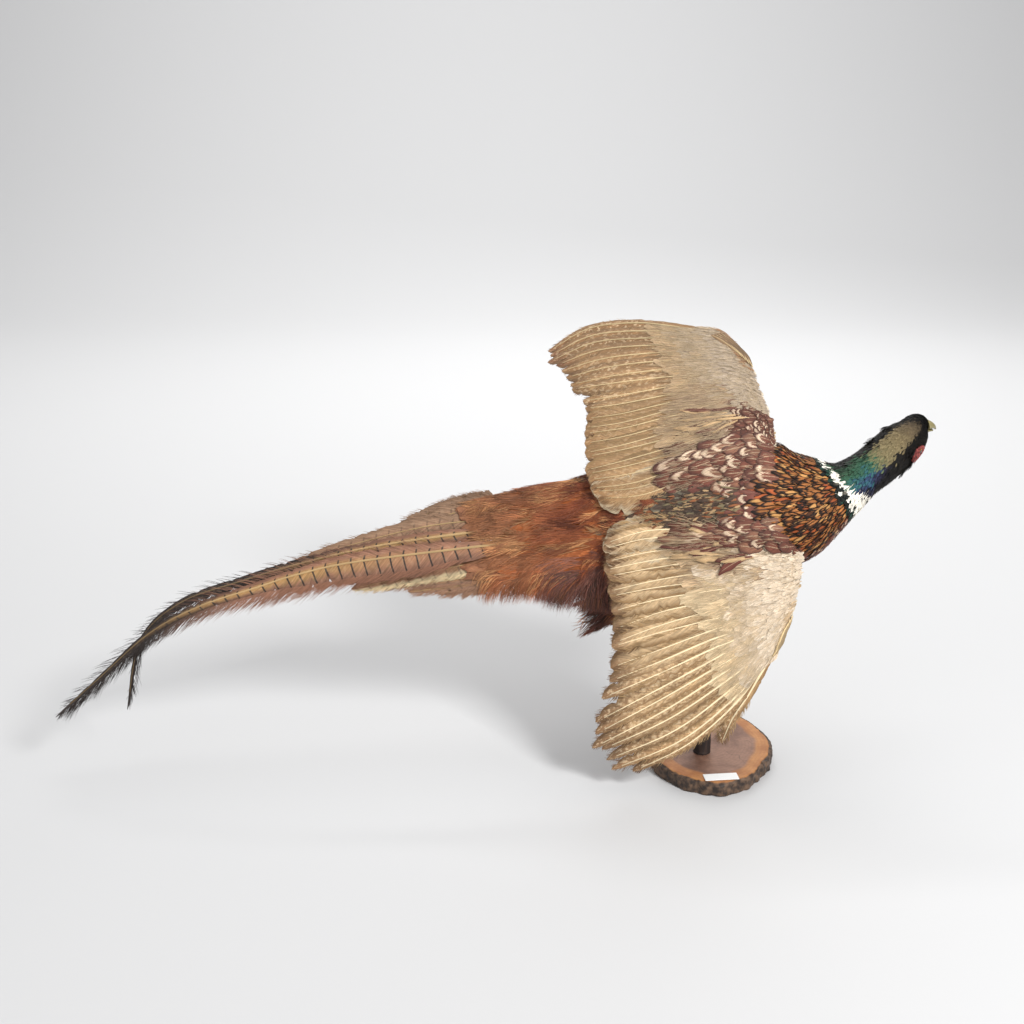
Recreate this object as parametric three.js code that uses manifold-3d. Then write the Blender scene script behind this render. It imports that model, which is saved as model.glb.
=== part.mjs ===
// A cock pheasant, mounted as a still model: it glides in a steep bank above a slice of log, its back turned
// to the front (-Y), head to +X and long tail to -X. A short branch stub rises from the slice into its side.
// Millimetres, +Z up, origin on the slice's underside, straight below the middle of the trunk.
//
// The bird is drawn in its own frame (x forward, y to its left, z out of its back) and then banked as one group.
import * as THREE from 'three';
import { mergeVertices } from 'three/addons/utils/BufferGeometryUtils.js';
import Module from 'manifold-3d';

const wasm = await Module();
wasm.setup();

// ---------------------------------------------------------------- driving dimensions
const GAP = 0.35; // clearance wherever two pieces meet
const LOOSE = 0.8; // the same, where one of them is cut to the other's round shape
const TRUNK_HEIGHT = 252; // middle of the trunk above the table
const BANK = THREE.MathUtils.degToRad(62); // roll towards its right wing
const CLIMB = THREE.MathUtils.degToRad(8); // beak end up

const SLICE = { halfWidth: 61, halfDepth: 80, thickness: 14, corners: 40, middle: [8, 4] };
const STUB = { footRadius: 8.6, topRadius: 7.6, sides: 14, foot: [0, -15.5] };

// Stations of the body from the root of the tail to the root of the bill:
// forward, left and up of the middle of the trunk, then half width, height of the back, depth of the belly.
const STATIONS = [
  { name: 'tail root', at: [-124, 0, 0], size: [45, 18, 23] },
  { name: 'vent', at: [-100, 0, -1], size: [49, 26, 36] },
  { name: 'loins', at: [-68, 0, -2], size: [53, 36, 50] },
  { name: 'belly', at: [-30, 0, -2], size: [58, 43, 60] },
  { name: 'keel', at: [10, 0, -1], size: [61, 46, 65] },
  { name: 'shoulders', at: [45, -1.5, 1], size: [61, 44, 63] },
  { name: 'crop', at: [75, -4, 3], size: [54, 39, 54] },
  { name: 'neck root', at: [100, -1, 4], size: [39.5, 31, 42] },
  { name: 'collar', at: [121, 4, 4], size: [26.2, 24.6, 27.8] },
  { name: 'throat', at: [139, 13, 4], size: [20.6, 19.8, 21.8] },
  { name: 'nape', at: [157, 23, 2.5], size: [20.2, 19.4, 20.8] },
  { name: 'ears', at: [174.5, 35, 0], size: [20, 19.2, 20.6] },
  { name: 'eyes', at: [190, 45.5, -5], size: [17.2, 16.4, 18.4] },
  { name: 'forehead', at: [200, 55.5, -9.5], size: [11.8, 11, 12.5] },
  { name: 'bill root', at: [207.5, 55.5, -16], size: [7, 6.6, 7.4] },
];
const HEAD_LEAN = THREE.MathUtils.degToRad(25); // the crown tips towards the bird's left
const EYE_RADIUS = 4.2;

// Wings: forward and outward reach from the shoulder. Each rib runs from the leading edge back along a
// feather to its tip; `at` is its place from the innermost feather (0) to the outermost (1).
const SHOULDER = { forward: 48, aside: 40, up: 24 };
const DROOP = THREE.MathUtils.degToRad(13); // wings held below the level of the back
const CAMBER = 12;
const FEATHERS = { flight: 22, secondaries: 12 };
const RIBS = {
  left: [
    { at: 0, line: [[-9, 19], [-14, -25], [-21, -66], [-30, -108], [-26, -147]] },
    { at: 0.12, line: [[9, 18], [3, -28], [-4, -74], [-9, -116], [-5, -155]] },
    { at: 0.25, line: [[27, 18], [24, -28], [17, -74], [13, -117], [11, -156]] },
    { at: 0.37, line: [[43, 17], [41, -27], [37, -74], [33, -116], [34, -154]] },
    { at: 0.5, line: [[58, 15], [58, -26], [57, -73], [54, -115], [57, -151]] },
    { at: 0.6, line: [[72, 13], [75, -27], [76, -72], [77, -116], [81, -150]] },
    { at: 0.7, line: [[88, 12], [93, -29], [98, -76], [102, -120], [103, -159]] },
    { at: 0.8, line: [[104, 9], [110, -32], [120, -80], [125, -127], [121, -168]] },
    { at: 0.9, line: [[120, 3], [128, -36], [140, -85], [147, -134], [134, -179]] },
    { at: 1, line: [[137, -6], [144, -42], [161, -88], [165, -134], [148, -173]] },
  ],
  right: [
    { at: 0, line: [[5, 26], [-15, -33], [-26, -72], [-30, -111], [-22, -150]] },
    { at: 0.1, line: [[11, 26], [-2, -30], [-9, -72], [-11, -111], [-7, -149]] },
    { at: 0.2, line: [[18, 25], [10, -32], [5, -72], [5, -111], [7, -152]] },
    { at: 0.3, line: [[27, 23], [26, -32], [26, -70], [27, -110], [31, -151]] },
    { at: 0.4, line: [[36, 21], [43, -31], [45, -69], [48, -108], [57, -150]] },
    { at: 0.5, line: [[46, 18], [59, -31], [66, -67], [76, -110], [87, -155]] },
    { at: 0.58, line: [[55, 15], [71, -29], [80, -66], [95, -112], [110, -163]] },
    { at: 0.66, line: [[62, 12], [81, -28], [97, -67], [119, -119], [143, -176]] },
    { at: 0.74, line: [[70, 9], [91, -26], [111, -65], [138, -119], [165, -182]] },
    { at: 0.82, line: [[77, 5], [99, -24], [126, -62], [154, -112], [175, -178]] },
    { at: 0.89, line: [[84, 2], [108, -22], [139, -55], [173, -104], [195, -167]] },
    { at: 0.935, line: [[87, 0], [110, -23], [141, -52], [174, -97], [197, -153]] },
    { at: 0.955, line: [[89, -2], [112, -23], [139, -45], [168, -76], [190, -112]] },
    { at: 0.977, line: [[92, -4], [113, -24], [134, -39], [154, -54], [178, -66]] },
    { at: 1, line: [[94, -4], [114, -20], [136, -34], [156, -48], [180, -61]] },
  ],
};

// Tail feathers: the long middle pair follow their own lines; the rest fan out in shorter and shorter pairs.
const COVERT_TIP = -198; // where the tail feathers leave their coverts
const LONG_FEATHERS = [
  { line: [[-196, 9, 6], [-305, 7, 11], [-380, 0, 12], [-437, -9, 12], [-495, -21, 10], [-539, -50, -2], [-566, -110, -30]] },
  { line: [[-196, -6, 9], [-325, -6, 16], [-381, -11, 19], [-419, -18, 19], [-476, -29, 19], [-526, -47, 12], [-580, -81, 0], [-627, -110, -12]] },
];
const SIDE_FEATHERS = [
  { left: [[-196, 19], [-260, 20], [-330, 12], [-392, 1]], right: [[-196, -18], [-245, -21], [-292, -25], [-336, -29]], halfWidth: 13 },
  { left: [[-196, 30], [-228, 30], [-261, 25], [-295, 18], [-326, 11]], right: [[-196, -30], [-237, -32], [-278, -31], [-320, -30]], halfWidth: 13 },
  { left: [[-196, 35], [-236, 36], [-285, 27]], right: [[-196, -35], [-240, -38], [-285, -38]], halfWidth: 12.5 },
  { left: [[-196, 37], [-225, 39], [-258, 35]], right: [[-196, -37], [-225, -41], [-258, -43]], halfWidth: 12 },
  { left: [[-196, 36], [-215, 39], [-238, 40]], right: [[-196, -36], [-215, -41], [-236, -45]], halfWidth: 11 },
];

// ---------------------------------------------------------------- making closed solids
function outward(geometry) {
  geometry.deleteAttribute('normal');
  geometry.deleteAttribute('uv');
  const merged = mergeVertices(geometry, 1e-4);
  const points = merged.attributes.position;
  const corners = merged.index.array;
  const [a, b, c] = [new THREE.Vector3(), new THREE.Vector3(), new THREE.Vector3()];
  let volume = 0;
  for (let i = 0; i < corners.length; i += 3) {
    a.fromBufferAttribute(points, corners[i]);
    b.fromBufferAttribute(points, corners[i + 1]);
    c.fromBufferAttribute(points, corners[i + 2]);
    volume += a.dot(b.cross(c));
  }
  if (volume < 0) {
    for (let i = 0; i < corners.length; i += 3) {
      [corners[i + 1], corners[i + 2]] = [corners[i + 2], corners[i + 1]];
    }
  }
  return merged;
}

/** A closed geometry whose every vertex is moved to place(x, y, z), with its faces turned outwards. */
function reshaped(geometry, place) {
  const points = geometry.attributes.position;
  for (let i = 0; i < points.count; i++) {
    const point = place(points.getX(i), points.getY(i), points.getZ(i));
    points.setXYZ(i, point.x, point.y, point.z);
  }
  return outward(geometry);
}

/** A round body through `rows` rings of `sides` points: ring(share, turn) is a point of a ring. */
function loft(sides, rows, ring, middle) {
  const last = rows + 1;
  return reshaped(new THREE.SphereGeometry(1, sides, last), (x, y, z) => {
    const row = Math.round((Math.acos(THREE.MathUtils.clamp(y, -1, 1)) / Math.PI) * last);
    const share = THREE.MathUtils.clamp((row - 1) / (rows - 1), 0, 1);
    return row === 0 || row === last ? middle(share) : ring(share, Math.atan2(z, x));
  });
}

/** A thin slab: place(along, across, face) with along and across from 0 to 1, and face -1 below or 1 above. */
function slab(lengths, widths, place) {
  return reshaped(new THREE.BoxGeometry(1, 1, 1, lengths, widths, 1), (x, y, z) => place(x + 0.5, y + 0.5, z * 2));
}

/** A round limb along a line of points, its radius given at each of them. */
function limb(points, radii, sides = 6, rows = 5) {
  const line = curveThrough(points);
  const girths = curveThrough(radii.map((radius) => [radius, 0, 0]));
  const frame = (share) => {
    const forward = line.getTangent(share);
    const side = new THREE.Vector3(0, 1, 0).cross(forward).normalize();
    return [line.getPoint(share), side, forward.clone().cross(side)];
  };
  return loft(
    sides,
    rows,
    (share, turn) => {
      const [centre, side, up] = frame(share);
      const radius = girths.getPoint(share).x;
      return centre.addScaledVector(side, radius * Math.cos(turn)).addScaledVector(up, radius * Math.sin(turn));
    },
    (share) => line.getPoint(share),
  );
}

function solid(geometry) {
  const vertProperties = new Float32Array(geometry.attributes.position.array);
  const triVerts = new Uint32Array(geometry.index.array);
  return new wasm.Manifold(new wasm.Mesh({ numProp: 3, vertProperties, triVerts }));
}

/** The largest single body of a solid, as a geometry. */
function geometryOf(shape) {
  const [largest] = shape.decompose().sort((one, other) => other.volume() - one.volume());
  const mesh = largest.simplify(0.02).getMesh();
  const geometry = new THREE.BufferGeometry();
  geometry.setAttribute('position', new THREE.BufferAttribute(mesh.vertProperties, 3));
  geometry.setIndex(new THREE.BufferAttribute(mesh.triVerts, 1));
  return geometry;
}

const joined = (shapes) => wasm.Manifold.union(shapes);
const curveThrough = (points) =>
  new THREE.CatmullRomCurve3(points.map(([x, y, z = 0]) => new THREE.Vector3(x, y, z)), false, 'catmullrom', 0.5);
const turnOf = (degrees) => THREE.MathUtils.degToRad(degrees);

// ---------------------------------------------------------------- finishes
const finish = (color, roughness = 0.85, metalness = 0) =>
  new THREE.MeshStandardMaterial({ color, roughness, metalness });
const LOOK = {
  crown: finish(0x6d6437, 0.6),
  green: finish(0x123d33, 0.45),
  white: finish(0xe9e2d2),
  mantle: finish(0x8c4f22),
  rust: finish(0x8e4a24),
  buff: finish(0xa98453),
  tan: finish(0xb2976c),
  grey: finish(0xa79c8b),
  plum: finish(0x3d2328),
  horn: finish(0xb3a564, 0.4),
  wattle: finish(0xa82a33, 0.6),
  eye: finish(0xb56a14, 0.1),
  scale: finish(0x6f6a60, 0.6),
  wood: finish(0x9a5c33, 0.55),
  bark: finish(0x3a251b, 0.8),
  paper: finish(0xf2f2ee, 0.9),
};

const model = new THREE.Group();
const bird = new THREE.Group();
bird.rotation.set(BANK, -CLIMB, 0, 'YXZ');
bird.position.set(0, 0, TRUNK_HEIGHT);
bird.updateMatrixWorld(true);
model.add(bird);

function add(name, geometry, material, group = bird) {
  geometry.computeVertexNormals();
  const mesh = new THREE.Mesh(geometry, material);
  mesh.name = name;
  group.add(mesh);
}

// ---------------------------------------------------------------- body, neck and head
const centreLine = curveThrough(STATIONS.map((station) => station.at));
const girth = curveThrough(STATIONS.map((station) => station.size));
const shareOf = (name) => STATIONS.findIndex((station) => station.name === name) / (STATIONS.length - 1);

/** Centre, left and up of the body at a share of its length. The lean starts at the collar. */
function bodyFrame(share) {
  const forward = centreLine.getTangent(share);
  const lean = THREE.MathUtils.smoothstep(share, shareOf('collar'), shareOf('ears')) * HEAD_LEAN;
  const left = new THREE.Vector3(0, Math.sin(lean), Math.cos(lean)).cross(forward).normalize();
  return { centre: centreLine.getPoint(share), left, up: forward.clone().cross(left) };
}

/** A point of the body's surface; turn 0 is its left side and a quarter turn its back. */
function bodyPoint(share, turn, grow = 0) {
  const { centre, left, up } = bodyFrame(share);
  const size = girth.getPoint(share);
  const height = (Math.sin(turn) > 0 ? size.y : size.z) + grow;
  return centre
    .addScaledVector(left, (size.x + grow) * Math.cos(turn))
    .addScaledVector(up, height * Math.sin(turn));
}

/** The stretch of the body between two shares of its length. */
function bodyPiece(from, to, sides, rows, grow = 0) {
  const at = (share) => THREE.MathUtils.lerp(from, to, share);
  return loft(
    sides,
    rows,
    (share, turn) => bodyPoint(at(share), turn, grow),
    (share) => bodyFrame(at(share)).centre,
  );
}

const CUTS = {
  rump: shareOf('loins'),
  ringFoot: shareOf('collar') - 0.018,
  ringTop: shareOf('collar') + 0.022,
  nape: shareOf('nape') + 0.03,
};
const HALF_CUT = 0.0006; // half the clearance between two stretches, as a share of the length

add('rump', bodyPiece(0, CUTS.rump - HALF_CUT, 24, 5), LOOK.rust);
add('trunk', bodyPiece(CUTS.rump + HALF_CUT, CUTS.ringFoot - HALF_CUT, 28, 11), LOOK.mantle);
add('neck_ring', bodyPiece(CUTS.ringFoot + HALF_CUT, CUTS.ringTop - HALF_CUT, 20, 2), LOOK.white);
add('neck', bodyPiece(CUTS.ringTop + HALF_CUT, CUTS.nape - HALF_CUT, 20, 5), LOOK.green);

// Tail coverts: the rump narrows and flattens into the roots of the tail.
const covertSize = curveThrough([[45, 18, 23], [43, 12, 15], [39, 7, 8]]);
const covertPoint = (grow) => (share, turn) => {
  const size = covertSize.getPoint(share);
  const height = (Math.sin(turn) > 0 ? size.y : size.z) + grow;
  const forward = THREE.MathUtils.lerp(STATIONS[0].at[0] - GAP - 1.2, COVERT_TIP, share);
  return new THREE.Vector3(forward, (size.x + grow) * Math.cos(turn), height * Math.sin(turn) + 3 * share);
};
const covertMiddle = (share) => covertPoint(0)(share, 0).setY(0).setZ(3 * share);
add('tail_coverts', loft(24, 5, covertPoint(0), covertMiddle), LOOK.rust);
const covertCutter = solid(loft(24, 5, covertPoint(LOOSE), covertMiddle));

const bodyCutter = joined([
  solid(bodyPiece(0, CUTS.ringFoot, 30, 22, LOOSE)),
  solid(bodyPiece(CUTS.ringFoot - 0.02, 1, 22, 14, LOOSE)),
  covertCutter,
]);

// Eyes sit in sockets; the red skin lies round each of them as a thin shield.
const EYE_TURN = { left: turnOf(-8), right: turnOf(168) };
const EYE_SHARE = shareOf('eyes') - 0.034;
const eyeCentre = (side) => bodyPoint(EYE_SHARE, EYE_TURN[side], -EYE_RADIUS * 0.45);
const eyeBall = (side, grow = 0) => {
  const { x, y, z } = eyeCentre(side);
  return new THREE.SphereGeometry(EYE_RADIUS + grow, 10, 6).translate(x, y, z);
};

let head = solid(bodyPiece(CUTS.nape + HALF_CUT, 1, 20, 8));
const headCutter = solid(bodyPiece(CUTS.nape + HALF_CUT, 1, 20, 8, GAP));
for (const side of ['left', 'right']) {
  head = head.subtract(solid(outward(eyeBall(side, GAP))));
}
add('head', geometryOf(head), LOOK.crown);

for (const side of ['left', 'right']) {
  add(`eye_${side}`, outward(eyeBall(side)), LOOK.eye);
  const shield = loft(
    14,
    4,
    (share, turn) => {
      const reach = [1, 1, 1, 0.5][Math.round(share * 3)];
      const lift = [-0.5, 1, 1.8, 2.3][Math.round(share * 3)];
      const along = 0.034 * reach * Math.cos(turn) - 0.008;
      const down = (side === 'left' ? -1 : 1) * (0.38 * reach * Math.sin(turn) + 0.1);
      return bodyPoint(EYE_SHARE + along, EYE_TURN[side] + down, lift);
    },
    (share) => bodyPoint(EYE_SHARE - 0.008, EYE_TURN[side] + (side === 'left' ? -0.1 : 0.1), share < 0.5 ? -0.5 : 2.5),
  );
  add(`wattle_${side}`, geometryOf(solid(shield).subtract(solid(outward(eyeBall(side, GAP)))).subtract(headCutter)), LOOK.wattle);
}

// Bill: the upper half hooks over the lower one.
const billFrame = bodyFrame(1);
const billForward = centreLine.getTangent(1);
const billPoint = (along, aside, up) =>
  billFrame.centre
    .clone()
    .addScaledVector(billForward, along)
    .addScaledVector(billFrame.left, aside)
    .addScaledVector(billFrame.up, up);
function billHalf(length, widths, tops, bottoms) {
  const sizes = curveThrough(widths.map((width, i) => [width, tops[i], bottoms[i]]));
  return loft(
    12,
    6,
    (share, turn) => {
      const size = sizes.getPoint(share);
      const middle = (size.y + size.z) / 2;
      return billPoint(
        GAP + 0.4 + share * length,
        size.x * Math.cos(turn),
        middle + ((size.y - size.z) / 2) * Math.sin(turn),
      );
    },
    (share) => billPoint(GAP + 0.4 + share * length, 0, (sizes.getPoint(share).y + sizes.getPoint(share).z) / 2),
  );
}
const BILL_LENGTH = 20;
add('beak_upper', billHalf(BILL_LENGTH, [7, 5.2, 3.4, 1.2], [6.4, 5.6, 3.4, -1.2], [0, -0.2, -0.9, -3.2]), LOOK.horn);
add('beak_lower', billHalf(BILL_LENGTH * 0.8, [6, 4.4, 2.4], [-0.5, -0.9, -2.4], [-4.6, -4.4, -3.9]), LOOK.horn);

// ---------------------------------------------------------------- wings
const ribCurves = {};
for (const [side, ribs] of Object.entries(RIBS)) {
  ribCurves[side] = ribs.map((rib) => ({ at: rib.at, curve: curveThrough(rib.line) }));
}

/** Outward and forward reach at a place across the wing (feather) and along a feather. */
function planform(side, feather, along) {
  const ribs = ribCurves[side];
  const next = Math.max(1, ribs.findIndex((rib) => rib.at >= feather));
  const low = ribs[next - 1];
  const high = ribs[next];
  const share = (feather - low.at) / (high.at - low.at);
  return low.curve.getPoint(along).lerp(high.curve.getPoint(along), share);
}

/** A point of the wing, `lift` above its middle surface. */
function wingPoint(side, feather, along, lift) {
  const { x: out, y: ahead } = planform(side, feather, along);
  const sign = side === 'left' ? 1 : -1;
  const height = CAMBER * Math.sin(Math.PI * along ** 0.66) - 24 * (out / 192) ** 2 + lift;
  return new THREE.Vector3(
    SHOULDER.forward + ahead,
    sign * (SHOULDER.aside + out * Math.cos(DROOP) + height * Math.sin(DROOP)),
    SHOULDER.up - out * Math.sin(DROOP) + height * Math.cos(DROOP),
  );
}

const COVERT_END = 0.34; // share of a feather's line hidden under the coverts
const HAND_START = FEATHERS.secondaries / FEATHERS.flight;

/** The feathers from one place across the wing to another: overlapping vanes with rounded tips. */
function vanes(side, first, last) {
  const count = last - first;
  const per = 3;
  return slab(4, count * per, (along, across, face) => {
    const number = first + across * count;
    const within = (Math.round(across * count * per) % per) / per;
    const notch = within === 0 ? (number > FEATHERS.secondaries ? 0.05 : 0.035) : 0;
    const trim = THREE.MathUtils.clamp(number / FEATHERS.flight, 0.004, 0.996);
    const inset = across === 0 && first > 0 ? 0.0016 : across === 1 && last < FEATHERS.flight ? -0.0016 : 0;
    const reach = THREE.MathUtils.lerp(COVERT_END + 0.003, 1 - notch, along);
    const step = [-0.7, 0, 0.7][Math.round(within * per)] * Math.min(1, along * 2);
    const half = THREE.MathUtils.lerp(1.4, 0.55, along);
    return wingPoint(side, trim + inset, reach, step + face * half);
  });
}

/** The arm and its coverts: thick and rounded at the leading edge, thin at the rear. */
function coverts(side) {
  const tops = [0.8, 4.2, 6.2, 5.8, 4.2, 2.6, 1.6];
  const unders = [0.8, 3.2, 4.6, 4.4, 3.2, 2.2, 1.4];
  return slab(6, 13, (along, across, face) => {
    const place = Math.round(along * 6);
    const feather = THREE.MathUtils.lerp(0.004, 0.996, across);
    const slim = THREE.MathUtils.lerp(1, 0.6, across);
    const half = (face > 0 ? tops : unders)[place] * slim;
    return wingPoint(side, feather, COVERT_END * along, face * half);
  });
}

for (const side of ['left', 'right']) {
  const trimmed = (geometry) => geometryOf(solid(geometry).subtract(bodyCutter));
  add(`wing_${side}_coverts`, trimmed(coverts(side)), LOOK.grey);
  add(`wing_${side}_secondaries`, trimmed(vanes(side, 0, FEATHERS.secondaries)), LOOK.buff);
  add(`wing_${side}_primaries`, trimmed(vanes(side, FEATHERS.secondaries, FEATHERS.flight)), LOOK.tan);
}

// ---------------------------------------------------------------- tail
/** A tail feather along a line, its width tapering to a rounded point; its roll eases towards the tip. */
function tailFeather(line, halfWidth, unroll, lift) {
  const curve = curveThrough(line);
  return slab(line.length > 5 ? 12 : 5, 2, (along, across, face) => {
    const share = along;
    const centre = curve.getPoint(share);
    const forward = curve.getTangent(share);
    const angle = turnOf(unroll) * THREE.MathUtils.smoothstep(share, 0.1, 1);
    const up = new THREE.Vector3(0, Math.sin(angle), Math.cos(angle));
    const aside = up.cross(forward).normalize();
    const out = forward.clone().cross(aside);
    const taper = Math.min(1, 0.35 + share * 8) * (1 - 0.55 * share) * Math.sqrt(Math.max(0.02, 1 - share ** 6));
    const thick = THREE.MathUtils.lerp(0.6, 0.45, share) - 0.12 * Math.abs(2 * across - 1);
    return centre
      .addScaledVector(aside, halfWidth * taper * (2 * across - 1))
      .addScaledVector(out, lift + face * thick);
  });
}

const planted = (feather) => geometryOf(solid(feather).subtract(covertCutter));
add('tail_feather_1', planted(tailFeather(LONG_FEATHERS[0].line, 12, 35, -0.8)), LOOK.buff);
add('tail_feather_2', planted(tailFeather(LONG_FEATHERS[1].line, 13, 35, 0.8)), LOOK.buff);
SIDE_FEATHERS.forEach((pair, place) => {
  ['left', 'right'].forEach((side, which) => {
    const line = pair[side].map(([ahead, aside]) => [ahead, aside, 3 - 1.8 * place + 0.03 * (COVERT_TIP - ahead)]);
    add(`tail_feather_${3 + place * 2 + which}`, planted(tailFeather(line, pair.halfWidth, 0, 0)), LOOK.buff);
  });
});

// ---------------------------------------------------------------- legs, folded back under the tail
const LEGS = {
  left: {
    thigh: [[-24, 28, -44], [-54, 33, -50], [-82, 35, -50], [-106, 35, -48]],
    girth: [22, 24, 17, 6.5],
    heel: [-108, 35, -56],
    foot: [-54, 33, -88],
  },
  right: {
    thigh: [[-32, -39, -36], [-54, -53, -39], [-84, -66, -42], [-108, -72, -41]],
    girth: [22, 25, 20.5, 11],
    heel: [-110, -72, -50],
    foot: [-54, -64, -86],
  },
};
for (const side of ['left', 'right']) {
  const { thigh, girth: around, heel, foot } = LEGS[side];
  const thighShape = solid(limb(thigh, around, 12, 6)).subtract(bodyCutter);
  add(`thigh_${side}`, geometryOf(thighShape), LOOK.plum);

  const at = (x, y, z) => [foot[0] + x, foot[1] + y, foot[2] + z];
  const shank = [solid(limb([heel, at(0, 0, 0)], [4.2, 3.2], 8, 4))];
  const spur = solid(limb([at(-20, 0, -9), at(-27, side === 'left' ? -9 : 9, -14)], [2.4, 0.6], 6, 3));
  const toes = [-9, 0, 9].map((aside) =>
    solid(limb(
      [at(-1, 0, 0), at(14, aside, -8), at(18, aside * 1.5, -24), at(8, aside * 1.6, -34)],
      [3, 2.6, 2.1, 0.7], 6, 5,
    )),
  );
  const hindToe = solid(limb([at(-1, 0, 0), at(-8, 0, -9), at(-6, 0, -16)], [2.6, 2, 0.7], 6, 5));
  const cutter = solid(limb(thigh, around.map((radius) => radius + 0.4), 12, 6));
  add(`foot_${side}`, geometryOf(joined([...shank, spur, ...toes, hindToe]).subtract(cutter)), LOOK.scale);
}

// ---------------------------------------------------------------- log slice and branch stub
const outline = new THREE.Shape();
for (let i = 0; i < SLICE.corners; i++) {
  const turn = (i / SLICE.corners) * Math.PI * 2;
  const wave = 1 + 0.022 * Math.sin(3 * turn + 0.8) + 0.016 * Math.sin(5 * turn + 2.1) + 0.008 * Math.sin(11 * turn);
  const x = SLICE.middle[0] + SLICE.halfWidth * wave * Math.cos(turn);
  const y = SLICE.middle[1] + SLICE.halfDepth * wave * Math.sin(turn);
  if (i === 0) outline.moveTo(x, y);
  else outline.lineTo(x, y);
}
outline.closePath();
add(
  'base_slice',
  outward(new THREE.ExtrudeGeometry(outline, { depth: SLICE.thickness, bevelEnabled: false, steps: 1 })),
  LOOK.wood,
  model,
);

// A blank paper tag lies on the sawn face near the front rim.
const TAG = { size: [32, 12, 0.6], at: [11.5, -65.5], turn: turnOf(6) };
add(
  'base_tag',
  outward(
    new THREE.BoxGeometry(...TAG.size)
      .rotateZ(TAG.turn)
      .translate(TAG.at[0], TAG.at[1], SLICE.thickness + GAP + TAG.size[2] / 2),
  ),
  LOOK.paper,
  model,
);

const stubTop = 214;
const stub = new THREE.CylinderGeometry(STUB.topRadius, STUB.footRadius, stubTop - SLICE.thickness, STUB.sides, 1)
  .rotateX(Math.PI / 2)
  .translate(...STUB.foot, (stubTop + SLICE.thickness) / 2 + GAP);
const bankedCutter = bodyCutter.transform(bird.matrixWorld.elements);
add('base_stub', geometryOf(solid(outward(stub)).subtract(bankedCutter)), LOOK.bark, model);

export default model;
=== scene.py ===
# A cock pheasant mounted in banking flight above a slice of log. The bird is a skin dressed with separate
# feathers, each a thin closed vane laid along the body; flight and tail feathers are built one by one.
import math

import bpy
import numpy as np
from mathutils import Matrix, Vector, noise
from mathutils.kdtree import KDTree


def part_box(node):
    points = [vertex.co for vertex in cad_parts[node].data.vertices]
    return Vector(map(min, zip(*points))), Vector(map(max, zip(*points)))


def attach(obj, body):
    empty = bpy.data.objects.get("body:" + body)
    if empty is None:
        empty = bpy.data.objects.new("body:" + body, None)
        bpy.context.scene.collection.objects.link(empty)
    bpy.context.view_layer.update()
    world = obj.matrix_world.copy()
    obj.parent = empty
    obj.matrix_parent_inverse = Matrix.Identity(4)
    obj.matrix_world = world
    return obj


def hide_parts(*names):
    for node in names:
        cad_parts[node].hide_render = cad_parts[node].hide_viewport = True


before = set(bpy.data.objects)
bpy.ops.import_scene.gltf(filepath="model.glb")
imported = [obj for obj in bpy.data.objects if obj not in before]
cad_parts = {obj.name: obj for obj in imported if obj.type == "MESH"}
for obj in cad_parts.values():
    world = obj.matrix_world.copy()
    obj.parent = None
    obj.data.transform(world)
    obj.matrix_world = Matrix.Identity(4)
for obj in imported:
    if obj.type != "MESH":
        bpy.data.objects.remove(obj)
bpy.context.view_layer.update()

# ---------------------------------------------------------------- view, floor and light
# A pale paper sweep under soft studio light: a key from the upper right, a weak fill from the left, one
# lamp overhead, one from behind and one that lights the wall, in a pale room.
view_data = bpy.data.cameras.new("view")
view_data.lens = 50
view_data.sensor_width = 36
view = bpy.data.objects.new("view", view_data)
view.location = (-0.182, -1.238, 0.662)
view.rotation_euler = (math.radians(90 - 18.36), 0, 0)
bpy.context.scene.collection.objects.link(view)
bpy.context.scene.camera = view

# The paper runs back level and then curves up into a wall, with no line between the two.
profile = [(-4.0, 0.0), (2.2, 0.0)] + [(2.2 + 2.2 * math.sin(turn), 2.2 - 2.2 * math.cos(turn))
                                       for turn in np.linspace(0.06, math.pi / 2, 24)] + [(4.4, 6.0)]
floor_data = bpy.data.meshes.new("floor")
floor_data.from_pydata([(x, y, z) for y, z in profile for x in (-7, 7)], [],
                       [(2 * i, 2 * i + 1, 2 * i + 3, 2 * i + 2) for i in range(len(profile) - 1)])
floor = bpy.data.objects.new("floor", floor_data)
bpy.context.scene.collection.objects.link(floor)
bpy.ops.object.select_all(action="DESELECT")
floor.select_set(True)
bpy.context.view_layer.objects.active = floor
bpy.ops.object.shade_smooth()
paper = bpy.data.materials.new("pale_floor")
paper.use_nodes = True
paper.node_tree.nodes["Principled BSDF"].inputs["Base Color"].default_value = (0.57, 0.57, 0.57, 1)
paper.node_tree.nodes["Principled BSDF"].inputs["Roughness"].default_value = 0.9
floor.data.materials.append(paper)

for name, place, aim, size, watts in (
    ("key", (1.15, -1.7, 1.75), (0, 0, 0.2), 0.6, 70),
    ("fill", (-1.9, -1.3, 1.2), (-0.1, 0, 0.2), 1.8, 9),
    ("top", (-0.2, 0.5, 2.4), (-0.1, 0, 0.2), 1.8, 22),
    ("behind", (0.4, 1.9, 1.5), (0, 0.2, 0.25), 1.4, 12),
    ("wall", (-0.3, 1.6, 2.6), (-0.3, 3.9, 0.6), 1.8, 66),
):
    lamp_data = bpy.data.lights.new(name, "AREA")
    lamp_data.size = size
    lamp_data.energy = watts
    lamp = bpy.data.objects.new(name, lamp_data)
    lamp.location = place
    away = np.array(place) - np.array(aim)
    lamp.rotation_euler = (
        math.atan2(math.hypot(away[0], away[1]), away[2]), 0, math.atan2(away[0], -away[1]))
    bpy.context.scene.collection.objects.link(lamp)

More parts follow.
